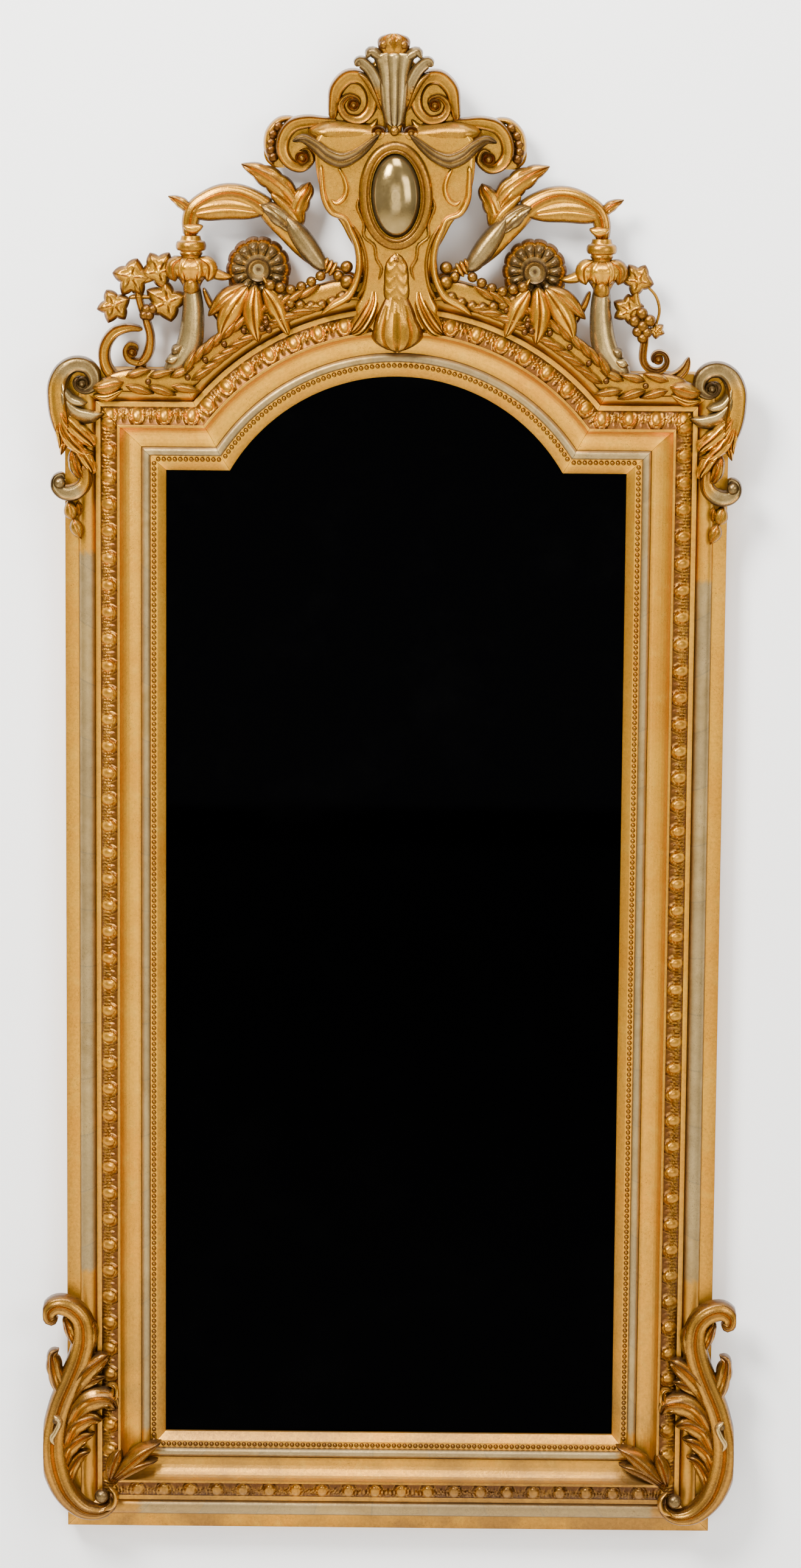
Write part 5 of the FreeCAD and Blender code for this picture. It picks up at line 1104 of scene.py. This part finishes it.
def age_and_shade_group():
    """Age and painted shade of a leafed surface: a colour darkened in its hollows, partly by patina
    and partly as painted shade, worn through on its ridges to bole and gesso, and dusty where it
    faces up.  Puts out the colour, the share of leaf left and the roughness."""
    group, source, sink = group_of(
        "Age",
        (("Colour", "NodeSocketColor", (0.8, 0.5, 0.2, 1)), ("Ridge", "NodeSocketFloat", 0.5),
         ("Patina_and_shade", "NodeSocketFloat", 0.8), ("Wear", "NodeSocketFloat", 0.5),
         ("Dust", "NodeSocketFloat", 0.4), ("Roughness", "NodeSocketFloat", 0.36)),
        (("Colour", "NodeSocketColor"), ("Leaf", "NodeSocketFloat"),
         ("Roughness", "NodeSocketFloat")))
    get = source.outputs
    coarse = noise(group, 26.0, 6.0, 0.62)
    fine = noise(group, 240.0, 4.0, 0.6)
    speck = noise(group, 620.0, 3.0, 0.7)
    # Painted shade: where the ridge value is low the colour is darkened toward HOLLOW; this is
    # partly real patina in the hollows and partly painted shade.
    hollow = maths(group, "SUBTRACT", get["Ridge"], times(group, fine, 0.22))
    hollow = ramp(group, hollow, 0.18, 0.50, 1.0, 0.0)
    hollow = times(group, hollow, get["Patina_and_shade"], True)
    dark = tinted(group, get["Colour"], HOLLOW)
    colour = mix(group, hollow, get["Colour"], dark)
    spots = times(group, ramp(group, speck, 0.57, 0.66), ramp(group, coarse, 0.40, 0.62))
    colour = mix(group, times(group, spots, 0.75), colour, SPOT)
    worn = maths(group, "ADD", get["Ridge"], times(group, fine, 0.55))
    worn = ramp(group, maths(group, "ADD", worn, times(group, coarse, 0.30)), 1.18, 1.32)
    worn = times(group, worn, get["Wear"], True)
    under = mix(group, ramp(group, coarse, 0.46, 0.56), BOLE, GESSO)
    colour = mix(group, worn, colour, under)
    dust = times(group, ramp(group, facing(group, 2), 0.25, 0.9), get["Dust"])
    dust = times(group, dust, ramp(group, fine, 0.30, 0.62, 0.35, 1.0), True)
    colour = mix(group, dust, colour, DUST)
    covered = maths(group, "MAXIMUM", worn, dust)
    # The patina and painted shade in the hollows also take a little of the leaf away, so the
    # hollows shine less.
    covered = maths(group, "MAXIMUM", times(group, hollow, 0.15), covered)
    leaf = maths(group, "SUBTRACT", 1.0, covered, True)
    rough = maths(group, "ADD", get["Roughness"], times(group, covered, 0.34))
    mottle = times(group, maths(group, "SUBTRACT", fine, 0.5), 0.18)
    rough = maths(group, "ADD", rough, mottle, True)
    for label, value in (("Colour", colour), ("Leaf", leaf), ("Roughness", rough)):
        group.links.new(value, sink.inputs[label])
    return group


def leaf_group():
    """Colour of the leaf: gold from red-orange to pale yellow by a slow noise, or silver under a
    yellow varnish, told apart by the silver value; both are browner low on the frame, and silver
    may show the laps of its sheets."""
    group, source, sink = group_of(
        "Leaf",
        (("Gold", "NodeSocketColor", (0.8, 0.5, 0.2, 1)),
         ("Silver", "NodeSocketColor", (0.6, 0.6, 0.5, 1)),
         ("Silvered", "NodeSocketFloat", 0.0), ("Run", "NodeSocketFloat", 0.0),
         ("Laps", "NodeSocketFloat", 0.0)),
        (("Colour", "NodeSocketColor"),))
    get = source.outputs
    slow = noise(group, 9.0, 5.0, 0.6, 0.4)
    middle = noise(group, 60.0, 5.0, 0.6)
    red = tinted(group, get["Gold"], RED_GOLD)
    pale = tinted(group, get["Gold"], PALE_GOLD)
    gold = mix(group, ramp(group, slow, 0.36, 0.62), red, get["Gold"])
    gold = mix(group, ramp(group, middle, 0.52, 0.72, 0.0, 0.8), gold, pale)
    place = add(group, "ShaderNodeTexCoord").outputs["Object"]
    height = add(group, "ShaderNodeSeparateXYZ", [(0, place)]).outputs[2]
    low = ramp(group, height, 0.02, 0.7, 0.85, 0.0)
    low = times(group, low, ramp(group, slow, 0.3, 0.6))
    gold = mix(group, low, gold, LOW_GOLD)
    lap = maths(group, "FRACT", maths(group, "DIVIDE", get["Run"], LAP_STEP))
    line = times(group, ramp(group, lap, 0.0, 0.035, 1.0, 0.0), get["Laps"])
    dull = tinted(group, get["Silver"], DULL_SILVER)
    green = mix(group, ramp(group, slow, 0.4, 0.62), get["Silver"], dull)
    bright = tinted(group, get["Silver"], BRIGHT_SILVER)
    silver = mix(group, ramp(group, middle, 0.45, 0.70, 0.0, 0.7), green, bright)
    silver = mix(group, low, silver, LOW_SILVER)
    silver = mix(group, times(group, line, 0.6), silver, LAP_LINE)
    shade = maths(group, "FLOOR", maths(group, "DIVIDE", get["Run"], LAP_STEP))
    tone = add(group, "ShaderNodeTexWhiteNoise", [("W", shade)], noise_dimensions="1D")
    tone = tone.outputs["Value"]
    tone = times(group, ramp(group, tone, 0.0, 1.0, 0.0, 0.45), get["Laps"])
    silver = mix(group, tone, silver, LAP_TONE)
    colour = mix(group, get["Silvered"], gold, silver)
    group.links.new(colour, sink.inputs["Colour"])
    return group


def principled(name):
    """New material with its Principled shader."""
    material = bpy.data.materials.new(name)
    material.use_nodes = True
    return material, material.node_tree, material.node_tree.nodes["Principled BSDF"]


def roughen(tree, shader, height, strength, distance):
    """Bump of a surface by a height value; distance is in metres."""
    bump = add(tree, "ShaderNodeBump", [("Height", height)])
    bump.inputs["Strength"].default_value = strength
    bump.inputs["Distance"].default_value = distance
    tree.links.new(bump.outputs[0], shader.inputs["Normal"])


def leaf_material(name, groups, patina_and_shade, wear, dust, rough, bump, laps, matt, tone):
    """Aged leaf on gesso: colour from the Leaf group, age and the painted shade of the hollows from
    the age group, brush bump.  Tone darkens the gold, and its square root the silver; matt takes
    away from the metal."""
    material, tree, shader = principled(name)
    colours = bpy.context.scene.mirror_colours
    leaf = add(tree, "ShaderNodeGroup", node_tree=groups["Leaf"])
    for label, colour, dark in (("Gold", colours.gold, tone),
                                ("Silver", colours.silver, tone ** 0.5)):
        leaf.inputs[label].default_value = (*[value * dark for value in colour], 1.0)
    leaf.inputs["Laps"].default_value = laps
    tree.links.new(attribute(tree, "silver"), leaf.inputs["Silvered"])
    tree.links.new(attribute(tree, "run"), leaf.inputs["Run"])
    age_and_shade = add(tree, "ShaderNodeGroup", node_tree=groups["Age"])
    for label, value in (("Patina_and_shade", patina_and_shade), ("Wear", wear), ("Dust", dust), ("Roughness", rough)):
        age_and_shade.inputs[label].default_value = value
    tree.links.new(leaf.outputs["Colour"], age_and_shade.inputs["Colour"])
    tree.links.new(attribute(tree, "ridge"), age_and_shade.inputs["Ridge"])
    tree.links.new(age_and_shade.outputs["Colour"], shader.inputs["Base Color"])
    tree.links.new(age_and_shade.outputs["Roughness"], shader.inputs["Roughness"])
    metal = times(tree, age_and_shade.outputs["Leaf"], 0.9 - matt)
    tree.links.new(metal, shader.inputs["Metallic"])
    brush = times(tree, noise(tree, 160.0, 4.0), 1.6)
    grain = maths(tree, "ADD", noise(tree, 900.0, 3.0, 0.6), brush)
    roughen(tree, shader, grain, bump, 0.0006)
    return material


def wood_material(name, groups, light, dark, gilded):
    """Old pine: streaks stretched along the grain.  On gilded wood the faces that look forward or
    sideways are gold and the back stays bare."""
    material, tree, shader = principled(name)
    place = add(tree, "ShaderNodeTexCoord").outputs["Object"]
    grain = add(tree, "ShaderNodeMapping", [("Vector", place)])
    grain.inputs["Scale"].default_value = (60.0, 60.0, 3.5)
    streak = add(tree, "ShaderNodeTexNoise", [("Vector", grain.outputs[0])])
    streak.inputs["Scale"].default_value = 1.0
    streak.inputs["Detail"].default_value = 7.0
    streak = streak.outputs["Fac"]
    wood = mix(tree, ramp(tree, streak, 0.35, 0.65), dark, light)
    stain = ramp(tree, noise(tree, 5.0, 4.0), 0.5, 0.75, 0.0, 0.5)
    wood = mix(tree, stain, wood, BARE_PINE_SPOT)
    rough = ramp(tree, streak, 0.3, 0.7, 0.62, 0.78)
    if gilded:
        colours = bpy.context.scene.mirror_colours
        back = ramp(tree, facing(tree, 1), 0.3, 0.6)
        leaf = add(tree, "ShaderNodeGroup", node_tree=groups["Leaf"])
        leaf.inputs["Gold"].default_value = (*[value * 0.85 for value in colours.gold], 1.0)
        age_and_shade = add(tree, "ShaderNodeGroup", [("Colour", leaf.outputs["Colour"])],
                  node_tree=groups["Age"])
        age_and_shade.inputs["Wear"].default_value = 0.4
        age_and_shade.inputs["Roughness"].default_value = 0.5
        wood = mix(tree, back, age_and_shade.outputs["Colour"], wood)
        metal = times(tree, maths(tree, "SUBTRACT", 1.0, back), age_and_shade.outputs["Leaf"])
        tree.links.new(times(tree, metal, 0.6), shader.inputs["Metallic"])
    tree.links.new(wood, shader.inputs["Base Color"])
    tree.links.new(rough, shader.inputs["Roughness"])
    roughen(tree, shader, streak, 0.35, 0.0008)
    return material


def iron_material(name, rust):
    """Forged iron: dark scale with rust in patches."""
    material, tree, shader = principled(name)
    patch = ramp(tree, noise(tree, 70.0, 6.0, 0.7), 0.45, 0.62, 0.0, rust)
    tree.links.new(mix(tree, patch, IRON, RUST), shader.inputs["Base Color"])
    tree.links.new(ramp(tree, patch, 0.0, 1.0, 0.48, 0.85), shader.inputs["Roughness"])
    tree.links.new(maths(tree, "SUBTRACT", 0.85, patch, True), shader.inputs["Metallic"])
    roughen(tree, shader, noise(tree, 400.0, 5.0), 0.4, 0.0005)
    return material


def mirror_material(name):
    """Old mirror plate: its front painted nearly black, a painted reflection of a dim room, with
    faint clouding and a grey painted back.
    """
    material, tree, shader = principled(name)
    cloud = ramp(tree, noise(tree, 7.0, 6.0, 0.65), 0.52, 0.80, 0.0, 0.5)
    back = ramp(tree, facing(tree, 1), 0.3, 0.6)
    # Painted reflection: the plate's front has a near-black colour for the dim room it reflects;
    # the clouding on it is the plate's own.
    front = mix(tree, cloud, GLASS_DARK_REFLECTION, GLASS_CLOUDED_DARK_REFLECTION)
    tree.links.new(mix(tree, back, front, GLASS_BACK), shader.inputs["Base Color"])
    tree.links.new(maths(tree, "SUBTRACT", 1.0, back), shader.inputs["Metallic"])
    paint = times(tree, back, 0.6)
    rough = maths(tree, "ADD", ramp(tree, cloud, 0.0, 0.5, 0.03, 0.07), paint)
    tree.links.new(rough, shader.inputs["Roughness"])
    return material


def plain_material(name, colour, rough):
    """Matt wall or floor paint with a faint mottle."""
    material, tree, shader = principled(name)
    mottle = ramp(tree, noise(tree, 1.6, 3.0), 0.3, 0.7)
    darker = tuple(value * 0.985 for value in colour)
    tree.links.new(mix(tree, mottle, darker, colour), shader.inputs["Base Color"])
    shader.inputs["Roughness"].default_value = rough
    return material


# Leafed finishes by name: material, patina and painted shade in the hollows, wear, dust, roughness,
# bump, laps, matt and tone.
LEAFED = {
    "carving": ("Gilded carving", 1.0, 0.08, 0.25, 0.24, 0.30, 0.0, 0.0, 0.68),
    "moulding": ("Gilded moulding", 0.90, 0.12, 0.30, 0.33, 0.30, 0.0, 0.0, 1.0),
    "eggs": ("Gilded egg and dart", 1.0, 0.05, 0.20, 0.30, 0.25, 0.0, 0.0, 0.92),
    "pearls": ("Gilded pearls", 0.9, 0.14, 0.15, 0.30, 0.15, 0.0, 0.0, 0.9),
    "strip": ("Silvered strip", 0.75, 0.25, 0.35, 0.36, 0.30, 1.0, 0.10, 0.85),
    "cabochon": ("Polished silver leaf", 0.2, 0.10, 0.05, 0.16, 0.08, 0.0, 0.0, 0.30),
}
MATERIALS = {}


def make_materials():
    """All finishes of the mirror and the stage, built once."""
    groups = {"Leaf": leaf_group(), "Age": age_and_shade_group()}
    for label, (name, *values) in LEAFED.items():
        MATERIALS[label] = leaf_material(name, groups, *values)
    MATERIALS["carcass"] = wood_material("Gilded carcass", groups, (0.42, 0.27, 0.13),
                                         (0.24, 0.14, 0.06), True)
    MATERIALS["pine"] = wood_material("Old pine", groups, (0.40, 0.26, 0.13),
                                      (0.22, 0.13, 0.06), False)
    MATERIALS["plate iron"] = iron_material("Forged iron", 0.5)
    MATERIALS["nail iron"] = iron_material("Rusted nails", 0.9)
    MATERIALS["mirror"] = mirror_material("Mirror plate")
    MATERIALS["wall"] = plain_material("Wall paint", (0.97, 0.97, 0.97), 0.9)
    MATERIALS["floor"] = plain_material("Pale floor", (0.78, 0.77, 0.75), 0.75)


# Ends of the silvered part of the outer strip: along z at the sides, along x at the bottom.
TORUS_SILVER = {"left": (388, 1447), "right": (380, 1413), "bottom": (-367, 389)}


def silver_on_torus(member):
    """Silvered share of the outer strip: gold near the corners and on the head."""
    def share(x, z):
        if member in TORUS_SILVER:
            return between(x if member == "bottom" else z, *TORUS_SILVER[member], 4)
        return 0 * x
    return share


def silver_on_inner(member):
    """Silvered share of the inner strip: small gold pieces at the lower corners."""
    def share(x, z):
        if member == "bottom":
            return between(x, -338, 338, 2)
        return np.clip((z - 150) / 2, 0, 1)
    return share


# ---------------------------------------------------------------- settings


class MirrorSizes(bpy.types.PropertyGroup):
    """Sizes of the repeating ornament."""

    egg_pitch: FloatProperty(name="Egg pitch", description="Step from egg to egg", default=0.0387,
                             min=0.02, unit="LENGTH", subtype="DISTANCE")
    pearl_pitch: FloatProperty(name="Pearl pitch", description="Step from pearl to pearl",
                               default=0.0078, min=0.005, unit="LENGTH", subtype="DISTANCE")


class MirrorColours(bpy.types.PropertyGroup):
    """Colours of the leaf."""

    gold: FloatVectorProperty(name="Gold", description="Gold leaf as it has aged", subtype="COLOR",
                              default=(0.92, 0.45, 0.030), min=0.0, max=1.0)
    silver: FloatVectorProperty(name="Silver", description="Silver leaf under varnish",
                                subtype="COLOR", default=(0.56, 0.385, 0.14), min=0.0, max=1.0)


def node_names(start):
    """CAD nodes whose names begin with start."""
    return sorted(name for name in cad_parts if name.startswith(start))


# ---------------------------------------------------------------- operators


class MIRROR_OT_moulding(bpy.types.Operator):
    """Build the mitred frame mouldings"""

    bl_idname = "mirror.moulding"
    bl_label = "Frame mouldings"

    def execute(self, context):
        section = moulding_section()
        for index, member in enumerate(MEMBERS):
            shell = run_section(member, section, 9.0 if member != "arch" else 7.0, None, index)
            add_piece("frame_moulding_" + member, [shell], MATERIALS["moulding"],
                      ("moulding_" + member,), 38.0)
        return {"FINISHED"}


class MIRROR_OT_strips(bpy.types.Operator):
    """Build the outer and inner half-round strips"""

    bl_idname = "mirror.strips"
    bl_label = "Half-round strips"

    def execute(self, context):
        outer = round_section(FASCIA + 0.4, TORUS - 0.3, OUTER_SEAT + CLEAR, 50.6)
        inner = round_section(COVE + 0.3, STRIP - 0.3, INNER_SEAT + CLEAR, 50.7)
        for kind, section, silver in (("outer", outer, silver_on_torus),
                                      ("inner", inner, silver_on_inner)):
            for group, members in GROUPS:
                shells = [run_section(member, section, 7.0, silver(member), 3.0)
                          for member in members]
                add_piece("%s_strip_%s" % (kind, group), shells, MATERIALS["strip"],
                          ("%s_baguette_%s" % (kind, group),))
        return {"FINISHED"}


class MIRROR_OT_eggs(bpy.types.Operator):
    """Carve the egg-and-dart strips"""

    bl_idname = "mirror.eggs"
    bl_label = "Egg and dart"

    def execute(self, context):
        pitch = context.scene.mirror_sizes.egg_pitch / MM
        for group, members in GROUPS:
            shells = [egg_strip(member, pitch) for member in members]
            add_piece("eggs_and_darts_" + group, shells, MATERIALS["eggs"],
                      ("egg_and_dart_" + group,), 75.0, 0.30)
        return {"FINISHED"}


class MIRROR_OT_pearls(bpy.types.Operator):
    """String the pearls round the glass"""

    bl_idname = "mirror.pearls"
    bl_label = "Pearls"

    def execute(self, context):
        pitch = context.scene.mirror_sizes.pearl_pitch / MM
        shells = [shell for member in MEMBERS for shell in pearl_row(member, pitch)]
        add_piece("pearls", shells, MATERIALS["pearls"], ("pearl_strings",),
                  50.0, 0.12)
        return {"FINISHED"}


class MIRROR_OT_crest(bpy.types.Operator):
    """Carve the crest: shield, cabochon, palmette, volutes, ears, branches and small pieces"""

    bl_idname = "mirror.crest"
    bl_label = "Crest"

    def execute(self, context):
        carving = MATERIALS["carving"]
        ring = [oval_ring(44.5, 68.5, 15, 70, 84), oval_ring(38.5, 62.5, 5, 78, 86)]
        add_piece("carved_shield", shield_shells() + ring, carving,
                  ("crest_shield",))
        add_piece("oval_cabochon", cabochon_shells(), MATERIALS["cabochon"],
                  ("cabochon",))
        add_piece("fluted_palmette", palmette_shells(), carving, ("palmette",))
        makers = (("volute", volute_shells), ("ear_scroll", ear_shells), ("branch", branch_shells),
                  ("rosette", rosette_shells), ("garland", garland_shells))
        for side, name in ((-1, "left"), (1, "right")):
            for label, maker in makers:
                add_piece("carved_%s_%s" % (label, name), maker(side), carving,
                          ("%s_%s" % (label, name),))
        left, right = small_shells(-1), small_shells(1)
        for label, shells in left.items():
            add_piece("carved_" + label, shells + right[label], carving, (label,))
        return {"FINISHED"}


class MIRROR_OT_vines(bpy.types.Operator):
    """Carve the ivy sprays on the shoulders"""

    bl_idname = "mirror.vines"
    bl_label = "Ivy sprays"

    def execute(self, context):
        for name, maker in (("left", vine_left_shells), ("right", vine_right_shells)):
            add_piece("carved_vine_" + name, maker(), MATERIALS["carving"],
                      ("vine_" + name,))
        return {"FINISHED"}


class MIRROR_OT_corners(bpy.types.Operator):
    """Carve the corner scrolls and sprays"""

    bl_idname = "mirror.corners"
    bl_label = "Corner carvings"

    def execute(self, context):
        for side, name in ((-1, "left"), (1, "right")):
            for part, maker in (("upper", upper_corner_shells), ("lower", lower_corner_shells)):
                add_piece("carved_corner_%s_%s" % (part, name), maker(side), MATERIALS["carving"],
                          ("corner_scroll_%s_%s" % (part, name),))
        add_piece("carved_sprays", spray_shells(-1) + spray_shells(1), MATERIALS["carving"],
                  ("corner_sprays",))
        return {"FINISHED"}


class MIRROR_OT_woodwork(bpy.types.Operator):
    """Finish the pieces kept from the CAD: carcass, boards, plate, blocks and ironwork"""

    bl_idname = "mirror.woodwork"
    bl_label = "Carcass, glass and ironwork"

    def execute(self, context):
        finishes = (("carcass_", "carcass"), ("carcass_tongues", "pine"), ("backboard_", "pine"),
                    ("glass_blocks", "pine"), ("crest_brace", "pine"),
                    ("backboard_nails", "nail iron"), ("hanger_nails", "nail iron"),
                    ("crest_nails", "nail iron"), ("hanger_plates", "plate iron"),
                    ("mirror_plate", "mirror"))
        for start, label in finishes:
            for name in node_names(start):
                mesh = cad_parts[name].data
                mesh.materials.clear()
                mesh.materials.append(MATERIALS[label])
        return {"FINISHED"}


# The room in metres: half its width, the wall, the floor, the top of the wall, the floor's front.
ROOM, WALL_AT, FLOOR_AT, ROOM_TOP, ROOM_FRONT = 6, 0.004, -0.6, 5.0, -12
# Square area lights: name, place, target, side, power and colour.
LIGHTS = (
    ("key", (-2.2, -3.6, 4.6), (0, 0, 1.2), 1.7, 680.0, (1.0, 0.985, 0.95)),
    ("fill", (3.0, -4.2, 2.6), (0, 0, 1.1), 2.4, 150.0, (1.0, 0.99, 0.97)),
    ("front", (0.0, -8.8, 1.1), (0, 0, 1.1), 3.2, 92.0, (1.0, 0.99, 0.97)),
    ("top", (0.3, -1.4, 4.4), (0, 0, 1.0), 1.4, 125.0, (1.0, 0.99, 0.96)),
)
SKY, SKY_STRENGTH = (1.0, 0.99, 0.97, 1.0), 0.43
# The camera of the photograph: its place in metres, its yaw, pitch and roll in radians, and its
# focal length and the photo's longer side in pixels.
EYE, YAW, PITCH, ROLL = (0.0482887, -7.5, 2.417460), 0.0051838, -0.1731207, -0.0082111
FOCAL, LONG_SIDE, SENSOR = 8664.312, 2576, 36.0


class MIRROR_OT_stage(bpy.types.Operator):
    """Set the wall, the floor, the lights and the camera"""

    bl_idname = "mirror.stage"
    bl_label = "Stage"

    def execute(self, context):
        wall = ((-ROOM, WALL_AT, FLOOR_AT), (ROOM, WALL_AT, FLOOR_AT),
                (ROOM, WALL_AT, ROOM_TOP), (-ROOM, WALL_AT, ROOM_TOP))
        floor = ((-ROOM, ROOM_FRONT, FLOOR_AT), (ROOM, ROOM_FRONT, FLOOR_AT),
                 (ROOM, WALL_AT, FLOOR_AT), (-ROOM, WALL_AT, FLOOR_AT))
        self.sheet("stage_wall", wall, "wall")
        self.sheet("stage_floor", floor, "floor")
        for values in LIGHTS:
            self.light(*values)
        world = bpy.data.worlds.new("Room")
        world.use_nodes = True
        background = world.node_tree.nodes["Background"]
        background.inputs[0].default_value = SKY
        background.inputs[1].default_value = SKY_STRENGTH
        context.scene.world = world
        self.camera(context.scene)
        return {"FINISHED"}

    @staticmethod
    def sheet(name, corners, finish):
        """Flat stage surface."""
        mesh = bpy.data.meshes.new(name)
        mesh.from_pydata(corners, [], [(0, 1, 2, 3)])
        mesh.materials.append(MATERIALS[finish])
        piece = bpy.data.objects.new(name, mesh)
        bpy.context.scene.collection.objects.link(piece)

    @staticmethod
    def light(name, place, target, size, power, colour):
        """Square area light aimed at a target."""
        data = bpy.data.lights.new(name, "AREA")
        data.shape = "SQUARE"
        data.size = size
        data.energy = power
        data.color = colour
        lamp = bpy.data.objects.new(name, data)
        lamp.location = place
        lamp.rotation_euler = (Vector(target) - Vector(place)).to_track_quat("-Z", "Y").to_euler()
        bpy.context.scene.collection.objects.link(lamp)

    @staticmethod
    def camera(scene):
        """Camera of the photograph: place and turn solved from the straight lines of the frame."""
        turn = Matrix.Rotation(YAW, 3, "Z") @ Matrix.Rotation(PITCH, 3, "X")
        turn = turn @ Matrix.Rotation(ROLL, 3, "Y")
        right, ahead, up = (turn.col[index].copy() for index in range(3))
        data = bpy.data.cameras.new("camera")
        data.sensor_width = SENSOR
        data.lens = FOCAL / LONG_SIDE * SENSOR
        data.clip_end = 100.0
        camera = bpy.data.objects.new("camera", data)
        matrix = Matrix((right, up, -ahead)).transposed().to_4x4()
        matrix.translation = EYE
        camera.matrix_world = matrix
        scene.collection.objects.link(camera)
        scene.camera = camera


STEPS = (MIRROR_OT_moulding, MIRROR_OT_strips, MIRROR_OT_eggs, MIRROR_OT_pearls, MIRROR_OT_crest,
         MIRROR_OT_vines, MIRROR_OT_corners, MIRROR_OT_woodwork, MIRROR_OT_stage)


class MIRROR_PT_sidebar(bpy.types.Panel):
    """Steps and settings of the mirror"""

    bl_idname = "MIRROR_PT_sidebar"
    bl_label = "Trumeau mirror"
    bl_space_type = "VIEW_3D"
    bl_region_type = "UI"
    bl_category = "Mirror"

    def draw(self, context):
        layout = self.layout
        layout.prop(context.scene.mirror_sizes, "egg_pitch")
        layout.prop(context.scene.mirror_sizes, "pearl_pitch")
        layout.prop(context.scene.mirror_colours, "gold")
        layout.prop(context.scene.mirror_colours, "silver")
        for step in STEPS:
            layout.operator(step.bl_idname)


CLASSES = (MirrorSizes, MirrorColours) + STEPS + (MIRROR_PT_sidebar,)


def register():
    """Register the classes and the scene settings."""
    for item in CLASSES:
        bpy.utils.register_class(item)
    bpy.types.Scene.mirror_sizes = PointerProperty(type=MirrorSizes)
    bpy.types.Scene.mirror_colours = PointerProperty(type=MirrorColours)


def unregister():
    """Remove the scene settings and the classes."""
    del bpy.types.Scene.mirror_colours
    del bpy.types.Scene.mirror_sizes
    for item in reversed(CLASSES):
        bpy.utils.unregister_class(item)


def main():
    register()
    make_materials()
    for step in STEPS:
        group, call = step.bl_idname.split(".")
        if getattr(getattr(bpy.ops, group), call)() != {"FINISHED"}:
            raise RuntimeError("%s did not finish" % step.bl_idname)


if __name__ == "__main__":
    main()
